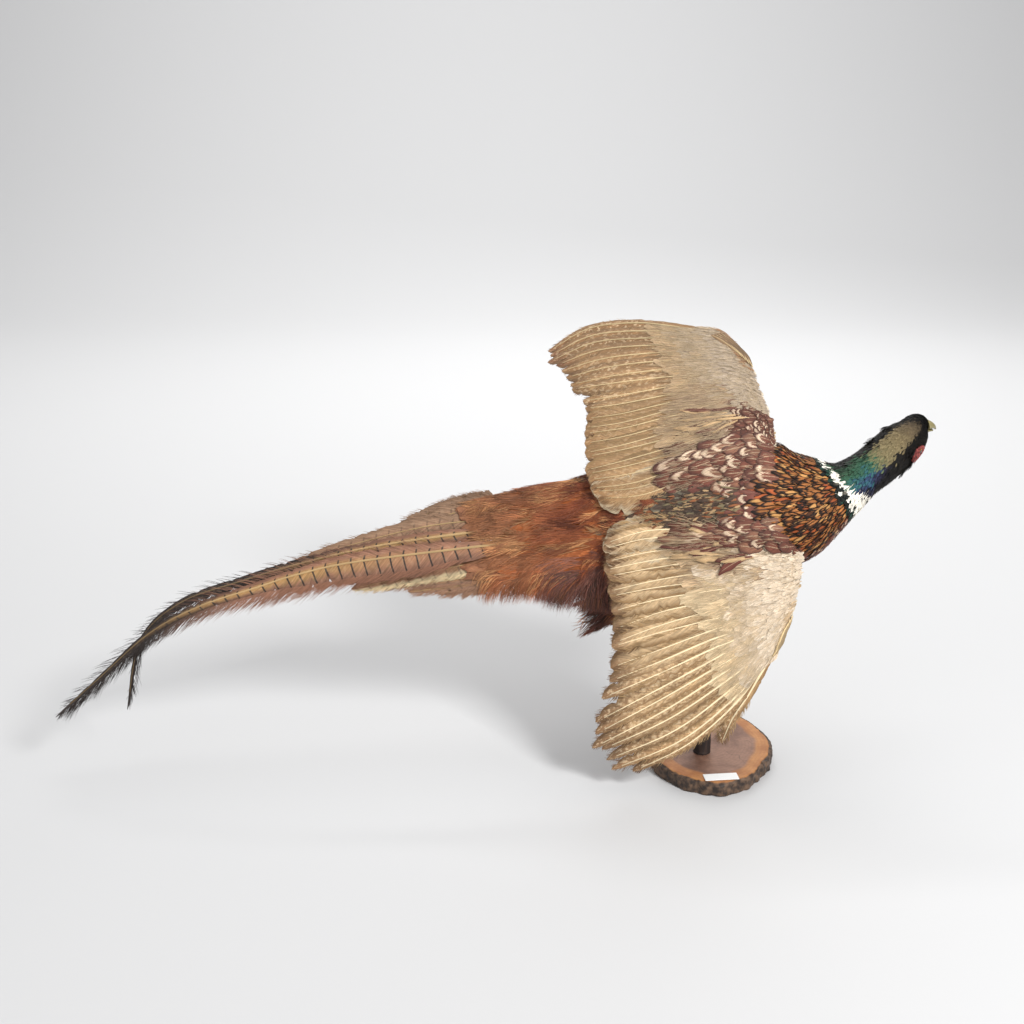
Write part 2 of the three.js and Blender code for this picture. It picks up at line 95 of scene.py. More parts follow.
room = bpy.data.worlds.new("room")
room.use_nodes = True
room.node_tree.nodes["Background"].inputs["Color"].default_value = (0.97, 0.97, 1.0, 1)
room.node_tree.nodes["Background"].inputs["Strength"].default_value = 0.36
bpy.context.scene.world = room
bpy.context.scene.view_settings.view_transform = "Standard"

# ---------------------------------------------------------------- body plumage
# Contour feathers cover the body from the bill to the root of the tail, each lying back over the next.
# The body is worked in its own frame, in millimetres: x forward, y to the bird's left, z out of its back.
# A station gives the centre, the half width, height of back and depth of belly, and its feathers' size.
chance = np.random.default_rng(7)
BANK, CLIMB, TRUNK_HEIGHT = math.radians(62), math.radians(8), 252
STATIONS = {
    "covert tip": ((-198, 0, 3), (39, 7, 8), (40, 10)),
    "coverts": ((-161, 0, 1.5), (43, 12, 15), (42, 11)),
    "tail root": ((-124, 0, 0), (45, 18, 23), (38, 11)),
    "vent": ((-100, 0, -1), (49, 26, 36), (36, 12)),
    "loins": ((-68, 0, -2), (53, 36, 50), (32, 13)),
    "belly": ((-30, 0, -2), (58, 43, 60), (27, 14)),
    "keel": ((10, 0, -1), (61, 46, 65), (25, 15)),
    "shoulders": ((45, -1.5, 1), (61, 44, 63), (18, 9)),
    "crop": ((75, -4, 3), (54, 39, 54), (12.5, 5.6)),
    "neck root": ((100, -1, 4), (39.5, 31, 42), (10.5, 4.8)),
    "collar": ((121, 4, 4), (26.2, 24.6, 27.8), (9, 4.4)),
    "throat": ((139, 13, 4), (20.6, 19.8, 21.8), (7.5, 3.8)),
    "nape": ((157, 23, 2.5), (20.2, 19.4, 20.8), (6.2, 3.2)),
    "ears": ((174.5, 35, 0), (20, 19.2, 20.6), (4.8, 2.6)),
    "eyes": ((190, 45.5, -5), (17.2, 16.4, 18.4), (3.5, 2.0)),
    "forehead": ((200, 55.5, -9.5), (11.8, 11, 12.5), (2.6, 1.6)),
    "bill root": ((207.5, 55.5, -16), (7, 6.6, 7.4), (1.9, 1.3)),
}
AT = {name: number for number, name in enumerate(STATIONS)}
HEAD_LEAN = math.radians(25)


def curve(points, share):
    """Points on the smooth line through the given ones, at shares of its length, straight past its ends."""
    points = np.asarray(points, float)
    share = np.asarray(share, float)
    held = np.clip(share, 0, 1)
    place = held * (len(points) - 1)
    step = np.minimum(place.astype(int), len(points) - 2)
    rest = (place - step)[..., None]
    whole = np.vstack([2 * points[0] - points[1], points, 2 * points[-1] - points[-2]])
    before, start, end, after = (whole[step + i] for i in range(4))
    leave, reach = (end - before) / 2, (after - start) / 2
    inside = (start + leave * rest + (3 * (end - start) - 2 * leave - reach) * rest ** 2
              + (2 * (start - end) + leave + reach) * rest ** 3)
    ends = np.where((share < 0)[..., None], points[1] - points[0], points[-1] - points[-2])
    return inside + ((share - held) * (len(points) - 1))[..., None] * ends


def unit(vectors):
    return vectors / np.maximum(np.linalg.norm(vectors, axis=-1, keepdims=True), 1e-9)


def smooth(value, low, high):
    share = np.clip((value - low) / (high - low), 0, 1)
    return share * share * (3 - 2 * share)


def to_room(points):
    """From the bird's frame in millimetres to the row's frame in metres."""
    roll = np.array([[1, 0, 0], [0, math.cos(BANK), -math.sin(BANK)], [0, math.sin(BANK), math.cos(BANK)]])
    climb = np.array([[math.cos(CLIMB), 0, -math.sin(CLIMB)], [0, 1, 0],
                      [math.sin(CLIMB), 0, math.cos(CLIMB)]])
    return (np.asarray(points) @ (climb @ roll).T + np.array([0, 0, TRUNK_HEIGHT])) / 1000


LAST = len(STATIONS) - 1
centres = np.array([station[0] for station in STATIONS.values()], float)
girths = np.array([station[1] for station in STATIONS.values()], float)
feather_sizes = np.array([station[2] for station in STATIONS.values()], float)


def body(place, turn, lift):
    """A point of the body: place is a station number, turn goes round it (a quarter turn is the back)."""
    share = np.asarray(place, float) / LAST
    centre = curve(centres, share)
    ahead = unit(curve(centres, share + 0.002) - curve(centres, share - 0.002))
    lean = smooth(place, AT["collar"], AT["ears"]) * HEAD_LEAN
    left = np.stack([np.zeros_like(lean), np.sin(lean), np.cos(lean)], -1)
    left = unit(np.cross(left, ahead))
    up = np.cross(ahead, left)
    girth = np.maximum(curve(girths, share), 1.2)
    height = np.where(np.sin(turn) > 0, girth[..., 1], girth[..., 2]) + lift
    width = girth[..., 0] + lift
    return centre + left * (width * np.cos(turn))[..., None] + up * (height * np.sin(turn))[..., None]


def paint(code):
    """A colour given as six letters for its red, green and blue on screen."""
    shown = np.array([int(code[i:i + 2], 16) for i in (0, 2, 4)]) / 255
    return np.where(shown <= 0.04045, shown / 12.92, ((shown + 0.055) / 1.055) ** 2.4)


def vane_shape(rows, columns, blunt=2.2):
    """A feather's closed vane: along and across from the root, the side it is on, and its triangles."""
    along = 1 - (1 - np.linspace(0, 1, rows)) ** 1.35
    wide = 0.32 + 0.68 * np.sin(np.clip(along / 0.6, 0, 1) * math.pi / 2)
    wide = wide * np.sqrt(np.clip(1 - np.clip((along - 0.55) / 0.45, 0, 1) ** blunt, 0, 1))
    across = np.linspace(-1, 1, columns)
    points, faces = [], []
    for row in range(rows - 1):
        points += [(along[row], x * wide[row], x, 1) for x in across]
        points.append((along[row], 0, 0, -1))
    tip = len(points)
    points.append((1, 0, 0, 0))
    width = columns + 1
    for row in range(rows - 1):
        here, there = row * width, (row + 1) * width
        ring = list(range(columns)) + [columns]
        for number, first in enumerate(ring):
            second = ring[(number + 1) % len(ring)]
            if row == rows - 2:
                faces.append((here + first, here + second, tip))
            else:
                faces += [(here + first, here + second, there + second),
                          (here + first, there + second, there + first)]
    faces += [(columns, number + 1, number) for number in range(columns - 1)]
    return np.array(points, float), np.array(faces)


def scales_of(surface, along, across):
    """How many millimetres one unit of each of a surface's two measures is, at its points."""
    step, flat = 0.01, np.zeros(len(along))
    here = surface(along, across, flat)
    return (np.maximum(np.linalg.norm(surface(along + step, across, flat) - here, axis=-1) / step, 1),
            np.maximum(np.linalg.norm(surface(along, across + step, flat) - here, axis=-1) / step, 1))


def lay_feathers(surface, spots, shape, arch=0.10, thick=0.22, ragged=0.10):
    """Feathers laid on a surface from their roots, as vertices, triangles and what each vertex carries.

    spots: along, across (the surface's own two measures), lie (+1 or -1 down the first), size (length,
    width), turned (off the lie), root and tip (lift off the surface), tone, rim, mark and patch."""
    points, faces = shape
    count = len(spots["along"])
    per_along, per_across = scales_of(surface, spots["along"], spots["across"])
    length, width = spots["size"][:, 0:1], spots["size"][:, 1:2]
    row = np.unique(points[:, 0], return_inverse=True)[1]
    edge = (points[:, 2] > 0).astype(int)
    torn = chance.normal(0, ragged, (count, row.max() + 1, 2)) - (chance.random(
        (count, row.max() + 1, 2)) < ragged) * chance.uniform(0.1, 0.4, (count, row.max() + 1, 2))
    shift = chance.normal(0, 0.35 * ragged, (count, row.max() + 1, 2))[:, row, edge]
    ahead = (points[None, :, 0] + shift * np.abs(points[None, :, 2]) * points[None, :, 0]) * length
    aside = points[None, :, 1] * (1 + torn[:, row, edge]) * width / 2
    turned = spots["turned"][:, None]
    down = ahead * np.cos(turned) - aside * np.sin(turned)
    over = ahead * np.sin(turned) + aside * np.cos(turned)
    along = spots["along"][:, None] + spots["lie"] * down / per_along[:, None]
    across = spots["across"][:, None] + over / per_across[:, None]
    rise = spots["root"][:, None] + (spots["tip"] - spots["root"])[:, None] * points[None, :, 0]
    dome = arch * width * (1 - points[None, :, 2] ** 2) * np.minimum(1, 3 * (1 - points[None, :, 0]) + 0.25)
    lift = rise + dome - np.where(points[None, :, 3] < 0, thick, 0)
    placed = surface(along, across, lift)
    return {
        "points": placed.reshape(-1, 3),
        "faces": (faces[None] + (np.arange(count) * len(points))[:, None, None]).reshape(-1, 3),
        "vane": np.broadcast_to(np.stack([(points[:, 2] + 1) / 2, points[:, 0]], -1),
                                (count, len(points), 2)).reshape(-1, 2),
        "bake": (spots["patch"][:, None, :] + spots["cell"][:, None]
                 * np.stack([points[:, 2] / 2, points[:, 0] - 0.5], -1)).reshape(-1, 2),
        "tone": np.repeat(spots["tone"], len(points), 0),
        "rim": np.repeat(spots["rim"], len(points), 0),
        "mark": np.repeat(spots["mark"], len(points), 0),
    }


roots = []  # where body feathers are rooted and their colour, which the skin under them takes


def make_coat(name, parts, material, stands_for):
    """One joined piece of closed vanes, with the values its material reads."""
    starts = np.cumsum([0] + [len(part["points"]) for part in parts])
    points = to_room(np.concatenate([part["points"] for part in parts]))
    faces = []
    for part, start in zip(parts, starts):
        some = part["faces"] + start
        a, b, c = (points[some[:, i]] - points[some.ravel()].mean(0) for i in range(3))
        outward = np.einsum("ij,ij->i", a, np.cross(b, c)).sum() > 0
        faces.append(part["faces"][:, ::1 if outward else -1] + start)
    faces = np.concatenate(faces)
    mesh = bpy.data.meshes.new(name)
    mesh.vertices.add(len(points))
    mesh.vertices.foreach_set("co", points.astype(np.float32).ravel())
    mesh.loops.add(faces.size)
    mesh.loops.foreach_set("vertex_index", faces.astype(np.int32).ravel())
    mesh.polygons.add(len(faces))
    mesh.polygons.foreach_set("loop_start", np.arange(0, faces.size, 3, dtype=np.int32))
    mesh.polygons.foreach_set("loop_total", np.full(len(faces), 3, dtype=np.int32))
    mesh.update(calc_edges=True)
    for layer, key in (("OFBake", "bake"), ("vane", "vane")):
        values = np.concatenate([part[key] for part in parts])
        mesh.uv_layers.new(name=layer).data.foreach_set("uv", values[faces].astype(np.float32).ravel())
    for key in ("tone", "rim", "mark"):
        values = np.concatenate([part[key] for part in parts])
        mesh.attributes.new(key, "FLOAT_VECTOR", "POINT").data.foreach_set(
            "vector", values.astype(np.float32).ravel())
    mesh.validate()
    mesh.materials.append(material)
    piece = bpy.data.objects.new(name, mesh)
    bpy.context.scene.collection.objects.link(piece)
    bpy.ops.object.select_all(action="DESELECT")
    piece.select_set(True)
    bpy.context.view_layer.objects.active = piece
    bpy.ops.object.shade_smooth_by_angle(angle=math.radians(50))
    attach(piece, "root")
    if stands_for:
        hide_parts(*stands_for)
    return piece


class Graph:
    """Short ways to join a material's nodes: each takes numbers, colours or sockets and gives a socket."""

    def __init__(self, name):
        self.material = bpy.data.materials.new(name)
        self.material.use_nodes = True
        self.nodes, self.links = self.material.node_tree.nodes, self.material.node_tree.links
        self.shader = self.nodes["Principled BSDF"]

    def put(self, node, *pairs):
        for socket, value in pairs:
            if isinstance(value, bpy.types.NodeSocket):
                self.links.new(value, node.inputs[socket])
            else:
                node.inputs[socket].default_value = value
        return node

    def calc(self, operation, *values):
        node = self.nodes.new("ShaderNodeMath")
        node.operation = operation
        return self.put(node, *enumerate(values)).outputs[0]

    def mix(self, share, first, second):
        node = self.nodes.new("ShaderNodeMix")
        node.data_type = "RGBA"
        return self.put(node, (0, share), (6, first), (7, second)).outputs[2]

    def band(self, value, low, high):
        node = self.nodes.new("ShaderNodeMapRange")
        node.interpolation_type = "SMOOTHSTEP"
        return self.put(node, (0, value), (1, low), (2, high)).outputs[0]

    def where(self):
        return self.nodes.new("ShaderNodeTexCoord").outputs["Object"]

    def noise(self, scale, detail=3.0, place=None, stretch=None):
        place = place or self.where()
        if stretch:
            node = self.nodes.new("ShaderNodeMapping")
            place = self.put(node, ("Vector", place), ("Scale", stretch)).outputs[0]
        node = self.nodes.new("ShaderNodeTexNoise")
        return self.put(node, ("Vector", place), ("Scale", scale), ("Detail", detail)).outputs[0]

    def barbs(self, x, along, own, slant, fine, wide):
        """Streaks along a vane's barbs, which run out from the shaft and on towards the tip."""
        node = self.nodes.new("ShaderNodeCombineXYZ")
        slanted = self.calc("MULTIPLY_ADD", self.calc("ABSOLUTE", x), -slant, along)
        self.put(node, (0, self.calc("MULTIPLY", slanted, fine)), (1, self.calc("MULTIPLY", x, wide)),
                 (2, self.calc("MULTIPLY", own, 40)))
        return self.noise(1, 3, place=node.outputs[0])

    def cells(self, scale, place=None):
        node = self.nodes.new("ShaderNodeTexVoronoi")
        return self.put(node, ("Vector", place or self.where()), ("Scale", scale)).outputs[0]

    def read(self, name):
        node = self.nodes.new("ShaderNodeAttribute")
        node.attribute_name = name
        return node.outputs["Vector"]

    def vane(self):
        node = self.nodes.new("ShaderNodeUVMap")
        node.uv_map = "vane"
        return self.parts(node.outputs[0])

    def parts(self, value):
        node = self.nodes.new("ShaderNodeSeparateXYZ")
        self.links.new(value, node.inputs[0])
        return node.outputs

    def shaded(self, colour, bright):
        node = self.nodes.new("ShaderNodeVectorMath")
        node.operation = "SCALE"
        return self.put(node, (0, colour), (3, bright)).outputs[0]

    def finish(self, colour, bump=None, strength=0.3, distance=0.0004, **sockets):
        self.put(self.shader, ("Base Color", colour))
        if bump is not None:
            node = self.put(self.nodes.new("ShaderNodeBump"), ("Strength", strength),
                            ("Distance", distance), ("Height", bump))
            self.put(self.shader, ("Normal", node.outputs[0]))
        for key, value in sockets.items():
            self.put(self.shader, (key.replace("_", " "), value))
        return self.material


def feather_look(name, mottle=0.2, soft=0.3, streak=0.5, quill=0.2, broken=0.0, varied=0.4, **sockets):
    """Contour feathers: a centre, a rim of another colour, a pale bow inside some tips, streaky barbs."""
    g = Graph(name)
    x, along, _ = g.vane()
    x = g.calc("MULTIPLY_ADD", x, 2, -1)
    across = g.calc("ABSOLUTE", x)
    rim_width, bow, own = g.parts(g.read("mark"))
    streaks = g.barbs(x, along, own, 0.45, 24, 1.3)
    reach = g.calc("POWER", g.calc("ADD", g.calc("POWER", across, 2.6), g.calc("POWER", g.calc(
        "MAXIMUM", g.calc("MULTIPLY_ADD", along, 1.54, -0.54), 0), 2.6)), 0.385)
    reach = g.calc("ADD", reach, g.calc("MULTIPLY_ADD", streaks, 0.5, -0.25))
    inner = g.calc("SUBTRACT", 1, rim_width)
    edge = g.band(reach, g.calc("SUBTRACT", inner, soft / 2), g.calc("ADD", inner, soft / 2))
    edge = g.calc("MULTIPLY", edge, g.calc("MULTIPLY_ADD", g.band(g.noise(230, 2), 0.47, 0.54), -broken, 1))
    colour = g.mix(edge, g.read("tone"), g.read("rim"))
    ring = g.calc("MULTIPLY", g.band(reach, 0.48, 0.60), g.calc("SUBTRACT", 1, g.band(reach, 0.74, 0.86)))
    ring = g.calc("MULTIPLY", g.calc("MULTIPLY", ring, g.band(along, 0.32, 0.52)), bow)
    colour = g.mix(ring, colour, (0.66, 0.50, 0.35, 1))
    shaft = g.calc("MULTIPLY", g.calc("SUBTRACT", 1, g.band(across, 0.02, 0.1)), quill)
    colour = g.mix(g.calc("MULTIPLY", shaft, g.calc("SUBTRACT", 1, g.band(along, 0.7, 0.95))), colour,
                   (0.62, 0.48, 0.30, 1))
    bright = g.calc("MULTIPLY_ADD", g.noise(95, 5), 2 * mottle, 1 - mottle)
    bright = g.calc("MULTIPLY", bright, g.calc("MULTIPLY_ADD", own, varied, 1 - varied / 2))
    lines = g.calc("MULTIPLY_ADD", g.band(streaks, 0.3, 0.7), streak, 1 - streak / 2)
    bright = g.calc("MULTIPLY", bright, lines)
    given = {"Roughness": 0.66, "Specular_IOR_Level": 0.3, "Sheen_Weight": 0.1}
    return g.finish(g.shaded(colour, bright), streaks, 0.5, 0.0006, **{**given, **sockets})


def rows_on_body(first, last, close_along, close_across):
    """Root places in staggered rows round the body, closer where its feathers are smaller, and a patch for
    each on the unwrapped skin, where the row goes up the map and the turn goes across it."""
    places, turns, patches, wide = [], [], [], []
    place = first
    breast_ends = (AT["shoulders"] - 0.5, AT["crop"] - 0.2, AT["neck root"] + 0.3, AT["collar"] - 0.2)
    while place < last:
        close = close_along * np.interp(place, breast_ends, (1, 1.6, 1.6, 1.1))
        size = curve(feather_sizes, np.array(place / LAST))
        step = np.linalg.norm(curve(centres, np.array(place / LAST + 0.003))
                              - curve(centres, np.array(place / LAST - 0.003))) / (0.006 * LAST)
        girth = curve(girths, np.array(place / LAST))
        round_it = math.pi * (girth[0] + (girth[1] + girth[2]) / 2)
        number = max(8, int(round_it / (size[1] * close_across)))
        at = (np.arange(number) + 0.5 * (len(places) % 2)) / number
        turns.append(at * 2 * math.pi + chance.normal(0, 0.16 / number * 6.28, number))
        places.append(place + chance.normal(0, 0.22 * size[0] * close / step, number))
        cell_at = (np.arange(number) + 0.5) / number  # so that the end cells stay on the map
        patches.append(np.stack([0.01 + 0.98 * cell_at, np.full(number, len(places))], -1))
        wide.append(np.full(number, 0.9 / number))
        place += size[0] * close / step
    patches = np.concatenate(patches)
    high = 0.98 / (len(places) + 1)
    patches[:, 1] *= high
    cells = np.stack([np.concatenate(wide), np.full(len(patches), 0.86 * high)], -1)
    return np.concatenate(places), np.concatenate(turns), patches, cells


def chosen(conditions, colours, otherwise):
    """For each feather, the colour of the first condition that holds."""
    result = np.broadcast_to(otherwise, (len(conditions[0]), 3)).copy()
    for condition, colour in reversed(list(zip(conditions, colours))):
        result[condition] = colour
    return result


def blend(value, stops, codes):
    """For each feather, a colour that runs from one stop's to the next."""
    shades = np.array([paint(code) for code in codes])
    return np.stack([np.interp(value, stops, shades[:, part]) for part in range(3)], -1)


def only(spots, keep):
    """The feathers of a set that are kept."""
    return {key: value if np.isscalar(value) else value[keep] for key, value in spots.items()}


def strands(spine, normal, width, shade, patch):
    """Closed hair-thin barbs along their spines (four points each), tapering to a point."""
    number = len(spine)
    run = unit(spine[:, 3] - spine[:, 0])
    cross = unit(np.cross(run, normal))
    over = np.cross(cross, run)
    rings = []
    for step, thin in enumerate((0.8, 1.0, 0.7)):
        half = (width * thin / 2)[:, None]
        rings += [spine[:, step] + cross * half, spine[:, step] - cross * half,
                  spine[:, step] + over * half * 0.8]
    faces = [(0, 2, 1)]
    for step in (0, 3):
        for corner in range(3):
            a, b = step + corner, step + (corner + 1) % 3
            faces += [(a, b, b + 3), (a, b + 3, a + 3)]
    faces += [(6, 7, 9), (7, 8, 9), (8, 6, 9)]
    wander = np.stack([np.tile([0, 0.003, 0.0015], 4)[:10], np.repeat([0, 0.001, 0.002, 0.003], 3)[:10]], -1)
    return {
        "points": np.stack(rings + [spine[:, 3]], 1).reshape(-1, 3),
        "faces": (np.array(faces)[None] + (np.arange(number) * 10)[:, None, None]).reshape(-1, 3),
        "vane": np.tile([0.5, 0.5], (number * 10, 1)),
        "bake": (patch[:, None] + wander[None]).reshape(-1, 2),
        "tone": np.repeat(shade, 10, 0), "rim": np.repeat(shade, 10, 0),
        "mark": np.tile([0, 0, 0.5], (number * 10, 1)),
    }


def wisps(surface, spots, number, reach, width=0.4, rise=0.8, splay=0.7):
    """Loose barbs that part from the edges and tips of feathers laid on a surface."""
    some = np.repeat(np.arange(len(spots["along"])), number)
    few = {key: value[some] for key, value in spots.items() if not np.isscalar(value)}
    count = len(some)
    per_along, per_across = scales_of(surface, few["along"], few["across"])
    share, x = chance.uniform(0.35, 0.93, count), chance.uniform(-0.95, 0.95, count)
    half = few["size"][:, 1] / 2 * np.sqrt(np.clip(1 - np.clip((share - 0.5) / 0.5, 0, 1) ** 2, 0.1, 1))
    heading = few["turned"] + x * splay + chance.normal(0, 0.10, count)
    own = reach * chance.uniform(0.5, 1.2, count)
    steps = np.array([0, 0.4, 0.75, 1.0])
    bent = heading[:, None] * (1 - 0.35 * steps)
    down = (share * few["size"][:, 0])[:, None] + own[:, None] * steps * np.cos(bent)
    over = (x * half)[:, None] + own[:, None] * steps * np.sin(bent)
    dome = 0.10 * few["size"][:, 1] * (1 - x ** 2)
    lift = (few["root"] + (few["tip"] - few["root"]) * share + dome)[:, None]
    lift = lift + steps * chance.normal(0.3, 0.6, (count, 1)) * rise
    spine = surface(few["along"][:, None] + spots["lie"] * down / per_along[:, None],
                    few["across"][:, None] + over / per_across[:, None], lift)
    below = surface(few["along"], few["across"], np.full(count, -5.0))
    shade = np.where(chance.random((count, 1)) < 0.5, few["tone"], few["rim"]) * chance.uniform(
        0.75, 1.15, (count, 1))
    return strands(spine, unit(spine[:, 0] - below), width * chance.uniform(0.7, 1.2, count), shade,
                   few["patch"] + few["cell"] * np.stack([x * 0.4, share * 0.6 - 0.4], -1))


EYE_PLACE = AT["eyes"] - 0.476
EYE_TURNS = {"left": math.radians(-8), "right": math.radians(168)}
place, turn, patch, cell = rows_on_body(-0.2, LAST - 0.02, 0.30, 0.46)
bare = np.zeros(len(place), bool)
for side, eye_turn in EYE_TURNS.items():
    off = (turn - eye_turn + math.pi) % (2 * math.pi) - math.pi
    off += 0.1 if side == "left" else -0.1
    bare |= ((place - EYE_PLACE + 0.11) / 0.38) ** 2 + (off / 0.30) ** 2 < 1
place, turn, patch, cell = (values[~bare] for values in (place, turn, patch, cell))
count = len(place)
back, right = np.sin(turn), -np.cos(turn)
drift = place + chance.normal(0, 0.12, count)
# how far a feather lies from the darker right side of the neck (-1) to its left (1); its painted sheen
# follows this
low_side = np.interp(place, np.arange(AT["collar"], AT["bill root"]), (182, 189, 200, 205, 207, 208))
off = -np.cos(np.radians(low_side) - turn) + chance.normal(0, 0.07, count)
under_neck = (np.radians(low_side) - turn) % (2 * math.pi) > math.pi  # the side turned to the breast
side_on = (1 + right) / 2
fuzzy = place + chance.normal(0, 0.05, count)
ring_low = AT["collar"] - 0.26 + 0.08 * back + 0.34 * side_on ** 2
ring_high = AT["collar"] + 0.10 - 0.05 * back + 0.80 * side_on ** 2
swirl = (np.sin(4.1 * place + 2.3 * turn) + 0.6 * np.sin(9.3 * turn - 5.1 * place)
         + chance.normal(0, 0.3, count))
neck = fuzzy > ring_high
head = neck & ((drift + 0.1 * swirl > AT["nape"] + 0.1) | (off < -0.86) | (off > 0.80))
crown = neck & ~under_neck & (drift > AT["nape"] - 0.25) & (
    off > -0.26 + 0.13 * np.clip(place - AT["ears"], 0, 2)) & (off < 0.74) & (drift < AT["forehead"] - 0.35)
band = (fuzzy > ring_low - 0.30) & (fuzzy <= ring_low)
ring = (fuzzy > ring_low) & ~neck
below_ring = fuzzy <= ring_low - 0.30
mantle = (drift > AT["shoulders"] + 0.15) & (back > -0.25 + 0.29 * (1 + right)) & below_ring
breast_top = 0.1 + 0.35 * np.maximum(right, 0) * (place > AT["shoulders"])
breast = (drift > AT["belly"] + 0.2) & (back < breast_top) & ~mantle & below_ring
strip = (drift > AT["vent"] + 0.8) & (drift < AT["keel"] + 0.35) & (back > 0.955)
scapular = (drift > AT["belly"] - 0.1) & (back > 0.05) & ~mantle & ~strip & below_ring
vent = (drift < AT["loins"] + 0.6) & (drift > AT["vent"] - 0.4) & (back < 0.15 - 0.3 * right)
under = (drift <= AT["vent"] - 0.4) & (back < -0.5)
luck = chance.random(count)
# painted sheen: the neck feathers' gloss, purple and blue to the right, teal and green to the left, set by
# side as colour
glossy = blend(off + 0.13 * swirl - 0.2 * (place > AT["throat"] + 0.3),
               (-0.85, -0.55, -0.34, -0.16, 0.08, 0.5, 0.85),
               ("100f12", "292a46", "2b4360", "2e6064", "2f5844", "30503a", "121812"))
satin = blend(place + chance.normal(0, 0.12, count),
              (AT["nape"] - 0.2, AT["nape"] + 0.3, AT["ears"], AT["eyes"], AT["forehead"]),
              ("5d6a49", "807453", "857655", "6a5b46", "504436"))
patterned = (  # which feathers, their centre and their rim; the first that fits holds
    (ring & (luck < 0.05), "6a655a", "2b2823"), (ring, "efe9da", "f6f1e6"),
    (band & (luck < 0.3), "17382d", "0f261e"), (band, "131a17", "0a0f0d"),
    (mantle & (luck < 0.16), "4a2814", "1a100b"), (mantle & (luck < 0.34), "984c24", "20120c"),
    (mantle & (luck < 0.52), "bd8b52", "21140d"), (mantle, "9e6435", "20130c"),
    (strip & (luck < 0.3), "7d6a55", "3d3a31"), (strip, "42342a", "6a6353"),
    (scapular & (luck < 0.3), "7e533d", "573a2e"), (scapular, "683b30", "4a2e28"),
    (breast, "42211f", "24100f"), (vent, "44292a", "251719"), (under, "5c3424", "6b3b27"),
    (place < 0.75, "8d5f42", "7a4f38"),
)
order = [crown, head, neck] + [fits for fits, _, _ in patterned]
tone = chosen(order, [satin[crown], paint("100e0d"), glossy[neck]] + [
    paint(centre) for _, centre, _ in patterned], paint("9a5329"))
rim = chosen(order, [0.8 * satin[crown], paint("0b0a09"), 0.72 * glossy[neck]] + [
    paint(outline) for _, _, outline in patterned], paint("b0693c"))
mark = np.stack([
    np.select([crown | head | neck, mantle, scapular, strip], [0.12, 0.34, 0.15, 0.2], 0.2)
    + chance.normal(0, 0.10, count),
    np.where(scapular, (chance.random(count) < 0.3) * chance.uniform(0.5, 1.0, count), 0.0),
    chance.random(count)], -1)
size = curve(feather_sizes, np.clip(place / LAST, 0, 1)) * chance.normal(1, 0.08, (count, 1))
size[mantle] *= [1.35, 0.70]
size[place < 0.8] *= [0.6, 0.8]
size[strip] *= [1.2, 0.62]
size[neck] *= [1.3, 0.62]
depth = np.interp(size[:, 0], [2, 8, 25, 40], [0.7, 1.3, 2.6, 3.4])
rump_way = smooth(place, AT["loins"] + 0.8, AT["loins"])  # here the feathers lie under the plumes
contour = {
    "along": place, "across": turn, "lie": -1, "size": size,
    "turned": chance.normal(0, 0.13, count),
    "root": -depth,
    "tip": (0.2 + chance.normal(0, 0.18, count) - 0.5 * rump_way - 0.3 * (place < 0.8)) * depth,
    "tone": tone * chance.normal(1, 0.08, (count, 1)), "rim": rim, "mark": mark,
    "patch": patch, "cell": cell,
}
roots.append((to_room(body(place, turn, -depth)), contour["tone"]))
number = 640  # narrow flecked feathers down the middle of the back
at, off = chance.uniform(AT["vent"] + 0.9, AT["keel"] + 0.5, number), chance.normal(0, 0.13, number)
luck = chance.random(number)
flecks = chosen([luck < 0.15, luck < 0.28, luck < 0.44], [paint("75684c"), paint("a3855f"), paint("84502f")],
                paint("4a382b"))
flecked = {
    "along": at, "across": math.pi / 2 + off, "lie": -1,
    "size": np.stack([chance.uniform(9, 17, number), chance.uniform(1.3, 2.8, number)], -1),
    "turned": chance.normal(0, 0.16, number), "root": np.full(number, -0.3),
    "tip": chance.uniform(0.8, 2.0, number), "tone": flecks, "rim": flecks * 0.6,
    "mark": np.stack([np.full(number, 0.3), np.zeros(number), chance.random(number)], -1),
    "patch": np.stack([0.25 + off / 6.3, 0.01 + 0.97 * at / LAST], -1),
    "cell": np.tile([0.004, 0.006], (number, 1)),
}
plumage = feather_look("body_feathers", quill=0.06, broken=0.8)
face_plumage = feather_look("head_feathers", mottle=0.34, streak=0.35, quill=0.03, varied=0.2, Roughness=0.5,
                            Metallic=0.1, Specular_IOR_Level=0.2, Sheen_Weight=0.0)
seen = (place > AT["loins"]) & (back > -0.5)
bare_head = place > AT["eyes"] + 0.5
trunk_part = ~mantle & (drift + 0.25 * swirl <= AT["shoulders"])
neck_part = ~trunk_part & (place <= AT["throat"])
head_part = place > AT["throat"]
make_coat("plumage_body", [
    lay_feathers(body, only(contour, trunk_part), vane_shape(6, 5), ragged=0.13),
    lay_feathers(body, flecked, vane_shape(5, 3, 1.6), ragged=0.15),
    wisps(body, only(contour, trunk_part & seen), 2, 4.5, 0.36)], plumage, ())
make_coat("plumage_neck", [
    lay_feathers(body, only(contour, neck_part), vane_shape(5, 3, 1.8), ragged=0.13),
    wisps(body, only(contour, neck_part & seen), 1, 4.0, 0.3, 0.5)], face_plumage, ())
make_coat("plumage_head", [
    lay_feathers(body, only(contour, head_part), vane_shape(4, 3)),
    wisps(body, only(contour, head_part & seen & ~bare_head), 1, 3.0, 0.28, 0.7)], face_plumage, ())

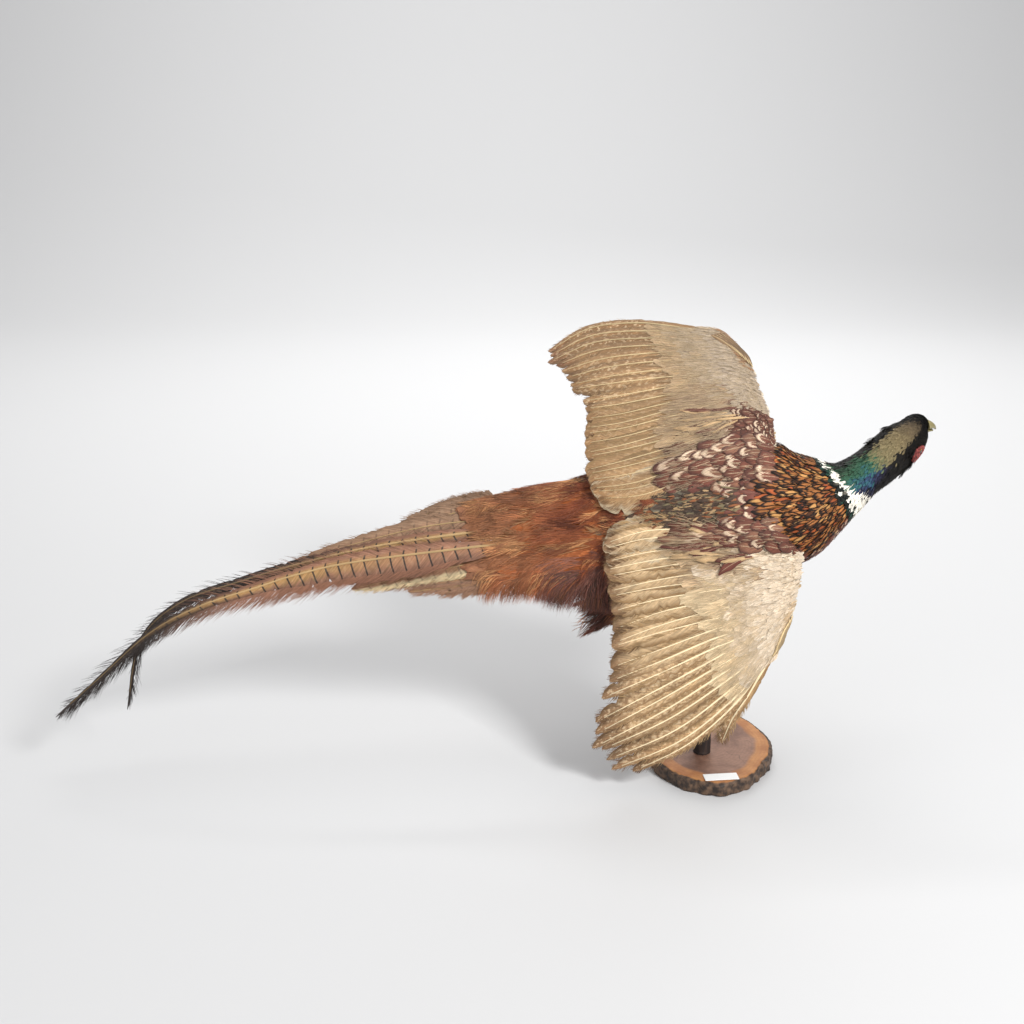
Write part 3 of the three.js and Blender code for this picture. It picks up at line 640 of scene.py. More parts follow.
# ---------------------------------------------------------------- flight feathers
# Each wing has ten primaries on the hand and twelve secondaries on the forearm: stiff tan vanes on pale
# shafts. Feathers nearer the body lie on top of those further out, seen from the back.
SHOULDER, DROOP, CAMBER = (48, 40, 24), math.radians(13), 12
RIBS = {
    "left": {
        0: ((-9, 19), (-14, -25), (-21, -66), (-30, -108), (-26, -147)),
        0.12: ((9, 18), (3, -28), (-4, -74), (-9, -116), (-5, -155)),
        0.25: ((27, 18), (24, -28), (17, -74), (13, -117), (11, -156)),
        0.37: ((43, 17), (41, -27), (37, -74), (33, -116), (34, -154)),
        0.5: ((58, 15), (58, -26), (57, -73), (54, -115), (57, -151)),
        0.6: ((72, 13), (75, -27), (76, -72), (77, -116), (81, -150)),
        0.7: ((88, 12), (93, -29), (98, -76), (102, -120), (103, -159)),
        0.8: ((104, 9), (110, -32), (120, -80), (125, -127), (121, -168)),
        0.9: ((120, 3), (128, -36), (140, -85), (147, -134), (134, -179)),
        1: ((137, -6), (144, -42), (161, -88), (165, -134), (148, -173)),
    },
    "right": {
        0: ((5, 26), (-15, -33), (-26, -72), (-30, -111), (-22, -150)),
        0.1: ((11, 26), (-2, -30), (-9, -72), (-11, -111), (-7, -149)),
        0.2: ((18, 25), (10, -32), (5, -72), (5, -111), (7, -152)),
        0.3: ((27, 23), (26, -32), (26, -70), (27, -110), (31, -151)),
        0.4: ((36, 21), (43, -31), (45, -69), (48, -108), (57, -150)),
        0.5: ((46, 18), (59, -31), (66, -67), (76, -110), (87, -155)),
        0.58: ((55, 15), (71, -29), (80, -66), (95, -112), (110, -163)),
        0.66: ((62, 12), (81, -28), (97, -67), (119, -119), (143, -176)),
        0.74: ((70, 9), (91, -26), (111, -65), (138, -119), (165, -182)),
        0.82: ((77, 5), (99, -24), (126, -62), (154, -112), (175, -178)),
        0.89: ((84, 2), (108, -22), (139, -55), (173, -104), (195, -167)),
        0.935: ((87, 0), (110, -23), (141, -52), (174, -97), (197, -153)),
        0.955: ((89, -2), (112, -23), (139, -45), (168, -76), (190, -112)),
        0.977: ((92, -4), (113, -24), (134, -39), (154, -54), (178, -66)),
        1: ((94, -4), (114, -20), (136, -34), (156, -48), (180, -61)),
    },
}
FLIGHT, SECONDARIES = 22, 12


def planform(side, feather, along):
    """Reach out from the shoulder and forward of it, at a place across the wing and along a feather."""
    feather, along = np.broadcast_arrays(np.asarray(feather, float), np.asarray(along, float))
    at = np.array(list(RIBS[side]))
    lines = np.stack([curve(line, along) for line in RIBS[side].values()])
    low = np.clip(np.searchsorted(at, feather, "right") - 1, 0, len(at) - 2)
    share = ((feather - at[low]) / (at[low + 1] - at[low]))[..., None]
    first = np.take_along_axis(lines, low[None, ..., None], 0)[0]
    second = np.take_along_axis(lines, low[None, ..., None] + 1, 0)[0]
    return first * (1 - share) + second * share


def wing_place(side, flat, along, lift):
    """A point of the wing's middle surface, and lift over it, in the bird's frame."""
    sign = 1 if side == "left" else -1
    out, ahead = flat[..., 0], flat[..., 1]
    height = CAMBER * np.sin(math.pi * np.clip(along, 0, 1) ** 0.66) - 24 * (out / 192) ** 2 + lift
    return np.stack([
        SHOULDER[0] + ahead,
        sign * (SHOULDER[1] + out * math.cos(DROOP) + height * math.sin(DROOP)),
        SHOULDER[2] - out * math.sin(DROOP) + height * math.cos(DROOP)], -1)


def barred_look(name, edge_from=0.7):
    """Flight and tail vanes: dark bars 12 mm apart, blotches beside the shaft, fine slanting barbs and
    painted shade.
    """
    g = Graph(name)
    x, along, _ = g.vane()  # along is in decimetres from the root
    x = g.calc("MULTIPLY_ADD", x, 2, -1)
    across = g.calc("ABSOLUTE", x)
    bars, mottled, own = g.parts(g.read("mark"))
    streaks = g.barbs(x, along, own, 0.20, 70, 0.9)
    wobble = g.calc("MULTIPLY_ADD", g.noise(120, 4), 0.9, -0.45)
    phase = g.calc("MULTIPLY_ADD", g.calc("MULTIPLY_ADD", across, 0.03, along), 52.4, wobble)
    reach = g.calc("MULTIPLY_ADD", x, 0.22, across)  # bars run further out on the inner vane
    bar = g.calc("MULTIPLY", g.band(g.calc("SINE", phase), 0.86, 0.97),
                 g.calc("SUBTRACT", 1, g.band(reach, 0.5, 0.75)))
    # towards the edges the vane takes the rim's colour; a darker flight rim is partly painted shade where
    # feathers overlap
    edge = g.band(g.calc("MULTIPLY_ADD", streaks, 0.6, across), edge_from, edge_from + 0.55)
    colour = g.mix(edge, g.read("tone"), g.read("rim"))
    colour = g.mix(g.calc("MULTIPLY", bar, bars), colour, (0.03, 0.02, 0.016, 1))
    spots = g.nodes.new("ShaderNodeCombineXYZ")
    g.put(spots, (0, g.calc("MULTIPLY", x, 2.6)), (1, g.calc("MULTIPLY", along, 21)),
          (2, g.calc("MULTIPLY", own, 90)))
    spots = g.noise(1.3, 3, place=spots.outputs[0])
    near = g.calc("MULTIPLY", g.calc("SUBTRACT", 1, g.band(across, 0.6, 1.0)), g.band(along, 0.30, 0.65))
    near = g.calc("MULTIPLY", near, mottled)
    colour = g.mix(g.calc("MULTIPLY", g.band(spots, 0.52, 0.58), g.calc("MULTIPLY", near, 0.75)), colour,
                   (0.22, 0.12, 0.055, 1))
    colour = g.mix(g.calc("MULTIPLY", g.calc("SUBTRACT", 1, g.band(spots, 0.40, 0.45)), g.calc(
        "MULTIPLY", near, 0.75)), colour, (0.68, 0.51, 0.32, 1))
    bright = g.calc("MULTIPLY_ADD", g.band(streaks, 0.3, 0.7), 0.5, 0.70)
    bright = g.calc("MULTIPLY", bright, g.calc("MULTIPLY_ADD", g.noise(60, 3), 0.4, 0.8))
    bright = g.calc("MULTIPLY", bright, g.calc("MULTIPLY_ADD", own, 0.26, 0.87))
    # painted shading: each vane lighter along its shaft and darker out to its edges, to look rounded
    bright = g.calc("MULTIPLY", bright, g.calc("MULTIPLY_ADD", across, -0.26, 1.12))
    # painted shadow: the inner vane, which lies under the next feather, is made up to a quarter darker
    bright = g.calc("MULTIPLY", bright, g.calc("MULTIPLY_ADD", g.band(x, -0.2, -0.7), -0.25, 1.0))
    return g.finish(g.shaded(colour, bright), streaks, 0.6, 0.0006,
                    Roughness=0.6, Specular_IOR_Level=0.35, Sheen_Weight=0.1)


def grid_faces(rows, columns, start=0):
    """Triangles between the points of a grid, row by row."""
    row, column = np.meshgrid(np.arange(rows - 1), np.arange(columns - 1), indexing="ij")
    a = (row * columns + column).ravel() + start
    return np.concatenate([np.stack([a, a + 1, a + columns + 1], -1),
                           np.stack([a, a + columns + 1, a + columns], -1)])


def tube(line, side, up, radius, sides=5):
    """A closed tapering tube along a line."""
    rows = len(line)
    turn = np.arange(sides) / sides * 2 * math.pi
    rings = (line[:, None] + side[:, None] * (radius[:, None] * np.cos(turn))[..., None]
             + up[:, None] * (radius[:, None] * np.sin(turn))[..., None])
    points = np.concatenate([rings.reshape(-1, 3), line[:1], line[-1:]])
    faces = []
    for number in range(sides):
        after = (number + 1) % sides
        for row in range(0, (rows - 1) * sides, sides):
            faces += [(row + number, row + after, row + after + sides),
                      (row + number, row + after + sides, row + number + sides)]
        faces += [(rows * sides, after, number),
                  (rows * sides + 1, (rows - 1) * sides + number, (rows - 1) * sides + after)]
    return points, np.array(faces)


def long_feather(line, side, up, outer, inner, tone, rim, mark, strip, shaft=0.9, tilt=0.0, split=0.12,
                 columns=9, shaft_tone=paint("e2c898")):
    """A flight or tail feather from its line, the direction across it and out of it, and its two widths."""
    rows = len(line)
    reach = np.concatenate([[0], np.cumsum(np.linalg.norm(np.diff(line, axis=0), axis=1))])
    share = reach / reach[-1]
    x = np.linspace(-1, 1, columns)
    x = np.sign(x) * np.abs(x) ** 0.85
    frayed = 1 + 0.04 * chance.normal(0, 1, (rows, 2)) - (chance.random((rows, 2)) < split) * chance.random(
        (rows, 2)) * 0.42 * (share[:, None] > 0.15)
    width = np.where(x[None] > 0, (outer * frayed[:, 0])[:, None], (inner * frayed[:, 1])[:, None])
    away = x[None] * width
    rise = tilt * away - 0.05 * np.abs(away) ** 1.2
    top = line[:, None] + side[:, None] * away[..., None] + up[:, None] * rise[..., None]
    thick = 0.30 - 0.16 * np.abs(x)[None] + 0 * share[:, None]
    under = top - up[:, None] * thick[..., None]
    cells = rows * columns
    faces = [grid_faces(rows, columns), grid_faces(rows, columns, cells)[:, ::-1]]
    loop = np.array(list(range(columns)) + [row * columns + columns - 1 for row in range(1, rows)]
                    + [cells - 1 - number for number in range(1, columns)]
                    + [row * columns for row in range(rows - 2, 0, -1)])
    after = np.roll(loop, -1)
    faces += [np.stack([loop, loop + cells, after + cells], -1), np.stack([loop, after + cells, after], -1)]
    vane = np.stack([np.broadcast_to((x[None] + 1) / 2, (rows, columns)),
                     np.broadcast_to(reach[:, None] / 100, (rows, columns))], -1).reshape(-1, 2)
    low, wide = strip
    flat = np.stack([low + wide * (0.08 + 0.84 * (x[None] + 1) / 2) + 0 * share[:, None],
                     0.012 + 0.46 * share[:, None] + 0 * x[None]], -1).reshape(-1, 2)
    vanes = {
        "points": np.concatenate([top.reshape(-1, 3), under.reshape(-1, 3)]),
        "faces": np.concatenate(faces), "vane": np.concatenate([vane, vane]),
        "bake": np.concatenate([flat, flat + np.array([0, 0.5])]),
        "tone": np.concatenate([tone(share[:, None], x[None]).reshape(-1, 3)] * 2),
        "rim": np.concatenate([rim(share[:, None], x[None]).reshape(-1, 3)] * 2),
        "mark": np.tile(mark, (2 * cells, 1)),
    }
    kept = share < 0.965
    quill, quill_faces = tube(
        (line + up * 0.25)[kept], side[kept], up[kept], (shaft * (1 - 0.75 * share))[kept])
    dark = np.clip(0.25 + 0.75 * tone(share[kept][:, None], x[None]).reshape(kept.sum(), -1, 3)[:, 0:1].mean(
        (1, 2)) / 0.30, 0.2, 1)
    shade = np.concatenate([np.repeat(shaft_tone * dark[:, None], 5, 0),
                            [shaft_tone * dark[0], shaft_tone * dark[-1]]])
    number = len(quill)
    stem = {
        "points": quill, "faces": quill_faces, "vane": np.tile([0.5, 0.0], (number, 1)),
        "bake": np.stack([low + wide * (0.46 + 0.02 * (np.arange(number) % 5)),
                          0.485 + 0.012 * np.arange(number) / number], -1),
        "tone": shade, "rim": shade, "mark": np.tile([0, 0, 0.5], (number, 1)),
    }
    return [vanes, stem]


def fringe(line, side, up, outer, inner, low, high, number, length, tone, strip, width=0.45,
           lean=(0.5, 0.95), outside=0.5):
    """Loose barbs standing out of both edges of a feather between two shares of its length."""
    share = np.linspace(0, 1, len(line))
    at = np.sort(chance.uniform(low, high, number))
    edge = np.where(chance.random(number) < outside, 1, -1)

    def along(values):
        return np.stack([np.interp(at, share, values[:, i]) for i in range(3)], -1)

    root, out, normal = along(line), unit(along(side)), unit(along(up))
    run = unit(along(unit(np.gradient(line, axis=0))))
    half = np.where(edge > 0, np.interp(at, share, outer), np.interp(at, share, inner))
    reach = length * chance.uniform(0.5, 1.15, number) * np.clip((1 - at) * 12, 0.35, 1)
    start = root + out * (edge * half * 0.7)[:, None] - normal * 0.2
    heading = unit(out * (edge * chance.uniform(*lean, number))[:, None] + run)
    steps = np.array([0, 0.4, 0.75, 1.0])[None, :, None]
    spine = (start[:, None] + heading[:, None] * steps * reach[:, None, None]
             + run[:, None] * steps ** 2 * reach[:, None, None] * 0.25
             + normal[:, None] * (chance.normal(0, 0.06, (number, 1, 1)) * reach[:, None, None])
             * steps ** 2)
    patch = np.stack([strip[0] + strip[1] * (0.5 + 0.42 * edge), 0.012 + 0.46 * at], -1)
    return strands(spine, normal, np.full(number, width), tone(at, edge) * chance.uniform(
        0.7, 1.15, (number, 1)), patch)


flight_look = barred_look("flight_feathers")
for side in ("left", "right"):
    pieces = []
    for number in range(FLIGHT):
        hand, tertial = number >= SECONDARIES, number < 3
        across = (number + 0.5) / FLIGHT
        end = 1.0 + chance.normal(0, 0.008)
        share = 1 - (1 - np.linspace(0, 1, 48)) ** 1.15
        along = 0.10 + (end - 0.10) * share
        steady = number > 20 or number in (SECONDARIES - 1, SECONDARIES)  # where hand and arm meet
        wander = np.clip(chance.normal(), -0.9, 0.9) * (0 if steady else 0.008 if hand else 0.016)
        flat = planform(side, np.clip(across + wander * (along - 0.3) * 2, 0.004, 0.996), along)
        neighbour = planform(side, across + 0.004, along) - planform(side, across - 0.004, along)
        run = unit(np.gradient(flat, axis=0))
        aside = np.stack([-run[:, 1], run[:, 0]], -1)
        aside *= np.sign((aside * neighbour).sum(1))[:, None]
        line = wing_place(side, flat, along, 0)
        out = unit(wing_place(side, flat + aside * 2, along, 0) - line)
        up = unit(np.cross(np.gradient(line, axis=0), out))
        up *= np.sign(up[:, 2].sum())
        full = np.sin(np.clip(share / 0.25, 0, 1) * math.pi / 2)
        blunt = np.sqrt(np.clip(1 - np.clip((share - 0.80) / 0.20, 0, 1) ** 2.4, 0.0, 1))
        point = np.sqrt(np.clip(1 - np.clip((share - 0.62) / 0.38, 0, 1) ** 2.0, 0.0, 1))
        outermost = max(0, (number - SECONDARIES) / 9)
        outer = ((7.5 - 3.2 * outermost) * point if hand else 10.5 * blunt) * full + 0.15
        inner = ((15 - 4.0 * outermost) * point if hand else 15 * blunt) * full + 0.15
        own = chance.random()
        over = side == "left"  # the lifted wing is browner than the hanging one
        base = paint("a07f59" if over else "c6a880") * (1 - outermost) + paint(
            "8b6946" if over else "b08c62") * outermost
        base = base * chance.normal(1, 0.06)
        tip_tone = paint("76482f") if outermost > 0.6 and over else paint("86633f" if over else "714e32")
        tip_from = 0.84 if over or not hand else 0.70
        # the darker secondary and primary edges are partly their own colour and partly painted shade where
        # feathers overlap
        edge_tone = paint("c9b494") if tertial else paint("8d6e4b" if over else "9c7b54") if hand else paint(
            "91734c" if over else "977750")

        def tone(share, x, base=base, tip_tone=tip_tone, tip_from=tip_from):
            tip = (smooth(share, tip_from, 1.0) * 0.85 + 0 * x)[..., None]
            return base * (1 - tip) + tip_tone * tip

        def rim(share, x, edge_tone=edge_tone):
            return edge_tone + 0 * (share + x)[..., None]

        strip = (0.008 + number * 0.0448, 0.0425)
        pieces += long_feather(line, out, up, outer, inner, tone, rim,
                               [0.0, (0.25 if not hand else chance.uniform(0.3, 0.75) if over
                                      else chance.uniform(0.5, 1.2)), own], strip,
                               shaft=(1.05 if over else 1.3) if hand else 0.9, tilt=0.085,
                               split=0.12 if over else 0.2, shaft_tone=paint("e3cb9c" if over else "f6e4bc"))
        pieces.append(fringe(
            line, out, up, outer, inner, 0.4, 0.99, 110 if over else 190, 5 if over else 7.5,
            lambda at, edge: chosen([at > 0.88 - 0.1 * chance.random(len(at))], [paint("6b4d31")],
                                    paint("a98a60")), strip, width=0.38))
    make_coat(f"flight_{side}", pieces, flight_look,
              (f"wing_{side}_primaries", f"wing_{side}_secondaries"))

# ---------------------------------------------------------------- wing coverts
# Short feathers in rows cover the arm above and below and the roots of the flight feathers. Near the body
# they are maroon with cream bows, further out warm grey; a tuft of four, the alula, lies on the wrist.
ARM = np.linspace(0, 0.34, 7)
TOPS, UNDERS = (0.8, 4.2, 6.2, 5.8, 4.2, 2.6, 1.6), (0.8, 3.2, 4.6, 4.4, 3.2, 2.2, 1.4)


def wing_skin(side, over):
    """The arm's upper or lower surface, measured along the feathers and across the wing."""
    def surface(along, across, lift):
        # the right wing's last ribs fan out from nearly one point, so its coverts stay off them past the arm
        outermost = 1.04 if side == "left" else np.interp(along, (0.1, 0.25), (1.015, 0.94))
        across = np.clip(across, -0.12, outermost)
        thick = np.interp(along, ARM, TOPS if over else UNDERS) * (1 - 0.4 * np.clip(across, 0, 1))
        thick = thick * (1 - 0.55 * smooth(along, 0.34, 0.50))
        return wing_place(side, planform(side, across, along), along, (thick + lift) * (1 if over else -1))
    return surface


def covert_rows(surface, rows, first, last, close):
    """Staggered rows of coverts across a wing, with a patch of the unwrapped arm for each."""
    alongs, acrosses, sizes, patches, cells, number_of = [], [], [], [], [], []
    for number, (along, length, width) in enumerate(rows):
        line = surface(np.full(60, along), np.linspace(first, last, 60), np.zeros(60))
        span = np.linalg.norm(np.diff(line, axis=0), axis=1).sum()
        count = int(span / (width * close))
        at = (np.arange(count) + 0.5 * (number % 2) + 0.25) / count
        acrosses.append(first + (last - first) * at + chance.normal(0, 0.1 * (last - first) / count, count))
        alongs.append(np.full(count, along) + chance.normal(0, 0.005, count))
        sizes.append(np.tile([length, width], (count, 1)) * chance.normal(1, 0.07, (count, 1)))
        cell_at = (np.arange(count) + 0.5) / count
        up_map = (number + 0.6) / (len(rows) + 0.5)
        patches.append(np.stack([0.01 + 0.97 * cell_at, np.full(count, up_map)], -1))
        cells.append(np.tile([0.9 / count, 0.84 / (len(rows) + 0.5)], (count, 1)))
        number_of.append(np.full(count, number))
    return [np.concatenate(values) for values in (alongs, acrosses, sizes, patches, cells, number_of)]


UPPER_ROWS = ((0.0, 7, 4.4), (0.018, 8, 4.6), (0.036, 9, 4.8), (0.055, 10.5, 5.1), (0.075, 12, 5.4),
              (0.095, 13.5, 5.8), (0.115, 15.5, 6.2), (0.135, 18, 6.6), (0.157, 21, 7), (0.182, 25, 7.6),
              (0.21, 28, 8.2), (0.24, 31, 9), (0.272, 33, 9.5), (0.31, 34, 10))
LOWER_ROWS = ((0.0, 8, 6.5), (0.03, 10, 8), (0.06, 13, 9), (0.095, 17, 10), (0.135, 22, 11), (0.18, 28, 12),
              (0.235, 36, 13), (0.29, 46, 15))
covert_look = feather_look("wing_coverts_feathers", mottle=0.22, soft=0.6, streak=0.7, quill=0.5,
                           varied=0.22)
for side in ("left", "right"):
    surface = wing_skin(side, True)
    along, across, size, patch, cell, row = covert_rows(surface, UPPER_ROWS, -0.03, 1.0, 0.50)
    count, reach = len(along), 0.95 if side == "left" else 0.91
    drift = across + chance.normal(0, 0.025, count)
    speckle = chance.random(count)
    if side == "left":
        maroon = drift < 0.40 - 0.12 * (along > 0.24) - 0.05 * (along > 0.15) - 0.05 * (along < 0.06)
        streaked = (drift < 0.58) & (along > 0.10) & ~maroon & (speckle < 0.6)
        golden = (drift > 0.74) & (along < 0.03)
        tones, rims = ("5f3628", "623830", "946b48"), ("44281e", "9a7e5e", "8f6644")
        silk, silk_rim, straw, straw_rim = "9c8a76", "a59480", "a58964", "ab9070"
    else:
        maroon = drift < 0.05 + 0.05 * (along < 0.1)
        streaked = (drift < 0.30) & (along > 0.10) & ~maroon & (speckle < 0.55)
        golden = (drift > 0.6) & (along < 0.02)
        tones, rims = ("673b2a", "6b3f35", "bb9f7c"), ("4a2b21", "c4a884", "c0a685")
        silk, silk_rim, straw, straw_rim = "d2bea6", "d8c7b0", "cdb48e", "d2bb96"
    share = smooth(along + chance.normal(0, 0.03, count), 0.14, 0.27)[:, None]  # silky grey turns to straw
    plain = paint(silk) * (1 - share) + paint(straw) * share
    plain_rim = paint(silk_rim) * (1 - share) + paint(straw_rim) * share
    order = [maroon, streaked, golden]
    size[~maroon & (row < 8)] *= [1.5, 0.62]
    size[maroon & (row < 10)] *= [1.2, 1.7]
    size[(row > 10) & (across < 0.42)] *= [1.45, 1.1]
    keep = ~(maroon & (row < 10) & (chance.random(count) < 0.42))
    keep &= across < np.where(row > 8, reach, np.where(row > 4, reach + 0.03, 2))  # none past the edge
    spots = {
        "along": along, "across": across, "lie": 1, "size": size,
        "turned": chance.normal(0, 0.10, count),
        "root": np.full(count, -1.2), "tip": np.where(row < 4, -0.1, 0.15) + chance.normal(0, 0.2, count),
        "tone": chosen(order, [paint(code) for code in tones], plain) * chance.normal(1, 0.07, (count, 1)),
        "rim": chosen(order, [paint(code) for code in rims], plain_rim),
        "mark": np.stack([np.select([maroon, streaked, golden], [0.15, 0.5, 0.35], 0.3),
                          np.where(maroon & (row < 12), (chance.random(count) < 0.36)
                                   * chance.uniform(0.5, 1, count), 0), chance.random(count)], -1),
        "patch": patch, "cell": cell,
    }
    roots.append((to_room(surface(along, across, np.full(count, -1.0))), spots["tone"]))
    silky = ~maroon & keep
    pieces = [
        lay_feathers(surface, only(spots, keep & (row < 9)), vane_shape(6, 5), 0.02, 0.12, ragged=0.22),
        lay_feathers(surface, only(spots, keep & (row >= 9)), vane_shape(9, 5, 1.8), 0.03, 0.14,
                     ragged=0.18),
        wisps(surface, only(spots, silky & (row < 8)), 5, 8, 0.30, 0.5, 0.35),
        wisps(surface, only(spots, silky & (row >= 8)), 14, 14, 0.30, 0.6, 0.35),
        wisps(surface, only(spots, streaked | (maroon & (row > 7))), 12, 18, 0.45, 1.0, 0.3)]
    drapes = 18 if side == "left" else 26  # long narrow maroon and tan feathers that trail over the vanes
    over_it = chance.uniform(0.26, 0.42, drapes) if side == "left" else chance.uniform(0.03, 0.19, drapes)
    where, wide, rise = ((0.11, 0.30), 1, 0) if side == "left" else ((0.16, 0.44), 1.35, 1.6)
    hue = chosen([chance.random(drapes) < 0.45], [paint("bd9c72")],
                 paint("63382b" if side == "left" else "64352a"))
    draped = {
        "along": chance.uniform(*where, drapes), "across": over_it, "lie": 1,
        "size": np.stack([chance.uniform(24, 42, drapes), wide * chance.uniform(2.4, 4.2, drapes)], -1),
        "turned": chance.normal(0, 0.16, drapes), "root": np.full(drapes, rise - 0.4),
        "tip": rise + chance.uniform(1.0, 2.2, drapes), "tone": hue, "rim": hue * 0.7,
        "mark": np.stack([np.full(drapes, 0.25), np.zeros(drapes), chance.random(drapes)], -1),
        "patch": np.stack([(np.arange(drapes) + 0.5) / drapes, np.full(drapes, 0.984)], -1),
        "cell": np.tile([0.9 / drapes, 0.024], (drapes, 1))}
    pieces += [lay_feathers(surface, draped, vane_shape(9, 3, 1.3), ragged=0.16),
               wisps(surface, draped, 12, 12, 0.34, 0.8, 0.3)]
    alula = []
    for number in range(4):
        share = np.linspace(0, 1, 26)
        start = (0.72, 0.70)[side == "right"] + 0.02 * number
        across_it = start + (0.955 - start) * share * (1 - 0.06 * number)
        along_it = 0.008 + 0.014 * number + (0.075 + 0.012 * number) * share ** 1.5
        line = surface(along_it, across_it, 0.5 + 0.25 * (4 - number) + 0 * share)
        ahead = np.gradient(line, axis=0)
        up = unit(surface(along_it, across_it, 3 + 0 * share) - surface(along_it, across_it, 0 * share))
        out = unit(np.cross(up, ahead))
        wide = ((2.4 if side == "left" else 1.7) * np.sin(np.clip(share / 0.3, 0, 1) * math.pi / 2)
                * np.sqrt(np.clip(1 - np.clip((share - 0.6) / 0.4, 0, 1) ** 2, 0, 1)) + 0.12)
        tint = paint("947758" if side == "left" else "b59c76")
        alula += long_feather(line, out, up, wide, wide, lambda share, x, tint=tint: tint + 0 * (share + x)[
            ..., None], lambda share, x, tint=tint: tint * 0.7 + 0 * (share + x)[..., None],
            [0, 0.5, 0.5], (0.01 + number * 0.2, 0.18), shaft=0.5, columns=7, split=0.05)
    make_coat(f"coverts_{side}_upper", pieces, covert_look, ())
    make_coat(f"alula_{side}", alula, flight_look, ())

    surface = wing_skin(side, False)
    along, across, size, patch, cell, row = covert_rows(surface, LOWER_ROWS, -0.03, 0.88, 0.55)
    count = len(along)
    spots = {
        "along": along, "across": across, "lie": 1, "size": size,
        "turned": chance.normal(0, 0.10, count), "root": np.full(count, -1.0),
        "tip": 0.3 + chance.normal(0, 0.25, count),
        "tone": chosen([chance.random(count) < 0.35], [paint("a98e6c")], paint("cbbda6")),
        "rim": chosen([chance.random(count) < 0.3], [paint("8e7454")], paint("d8ccb7")),
        "mark": np.stack([np.full(count, 0.25), np.zeros(count), chance.random(count)], -1),
        "patch": patch, "cell": cell,
    }
    roots.append((to_room(surface(along, across, np.full(count, -1.0))), spots["tone"]))
    make_coat(f"coverts_{side}_lower", [lay_feathers(surface, spots, vane_shape(6, 5), arch=0.06)],
              covert_look, ())

# ---------------------------------------------------------------- scapulars
# A tract of maroon feathers with cream bows and stippled centres bridges the back and each wing's root.
def bridge(side):
    """A surface from the back out over the root of a wing, raised so that it lies over both."""
    turn = math.radians(68 if side == "left" else 112)
    reach = 0.17 if side == "left" else 0.09

    def sheet(along, across):
        # along runs back from the shoulder, across from the back (0) to the wing (1)
        inner = body(AT["shoulders"] + 0.55 - along * 2.6, np.full_like(along, turn), 1.0)
        over = wing_skin(side, True)(0.02 + along * 0.52, reach + 0 * along, 1.2 + 0 * along)
        share = across[..., None]
        return inner * (1 - share) + over * share

    def surface(along, across, lift):
        along, across = np.broadcast_arrays(along, across)
        at = sheet(along, across)
        normal = unit(np.cross(sheet(along + 0.01, across) - at, sheet(along, across + 0.01) - at))
        normal *= np.sign(normal[..., 2:3])
        hump = 5.5 * np.sin(math.pi * np.clip(across, 0, 1)) * (1 - 0.5 * np.clip(along, 0, 1))
        hump = hump * (0.15 + 0.85 * smooth(along, 0.0, 0.25))
        return at + normal * (hump + lift)[..., None]
    return surface


SCAPULAR_ROWS = tuple(
    (0.02 + 0.082 * number, 18 + 2.4 * number, 12.5 + 0.3 * number) for number in range(10))
for side in ("left", "right"):
    surface = bridge(side)
    along, across, size, patch, cell, row = covert_rows(surface, SCAPULAR_ROWS, -0.15, 1.05, 0.60)
    count = len(along)
    long_ones = row > 6
    stippled = chance.random(count) < 0.3
    order = [long_ones & stippled, stippled & ~long_ones]
    spots = {
        "along": along, "across": across, "lie": 1, "size": size,
        "turned": chance.normal(0, 0.12, count), "root": np.full(count, -2.2),
        "tip": 0.4 + chance.normal(0, 0.4, count),
        "tone": chosen(order, [paint("8a684e"), paint("7c5440")], paint("6b3d2e")) * chance.normal(
            1, 0.10, (count, 1)),
        "rim": chosen(order, [paint("643d30"), paint("4d2f29")], paint("492c24")),
        "mark": np.stack([
            np.full(count, 0.16), (chance.random(count) < 0.42) * chance.uniform(0.7, 1, count),
            chance.random(count)], -1),
        "patch": patch, "cell": cell,
    }
    make_coat(f"scapulars_{side}", [
        lay_feathers(surface, spots, vane_shape(8, 5, 2.6), arch=0.08, ragged=0.12),
        wisps(surface, spots, 6, 7, 0.34),
        wisps(surface, only(spots, long_ones), 10, 18, 0.4, 1.0, 0.3)], covert_look, ())

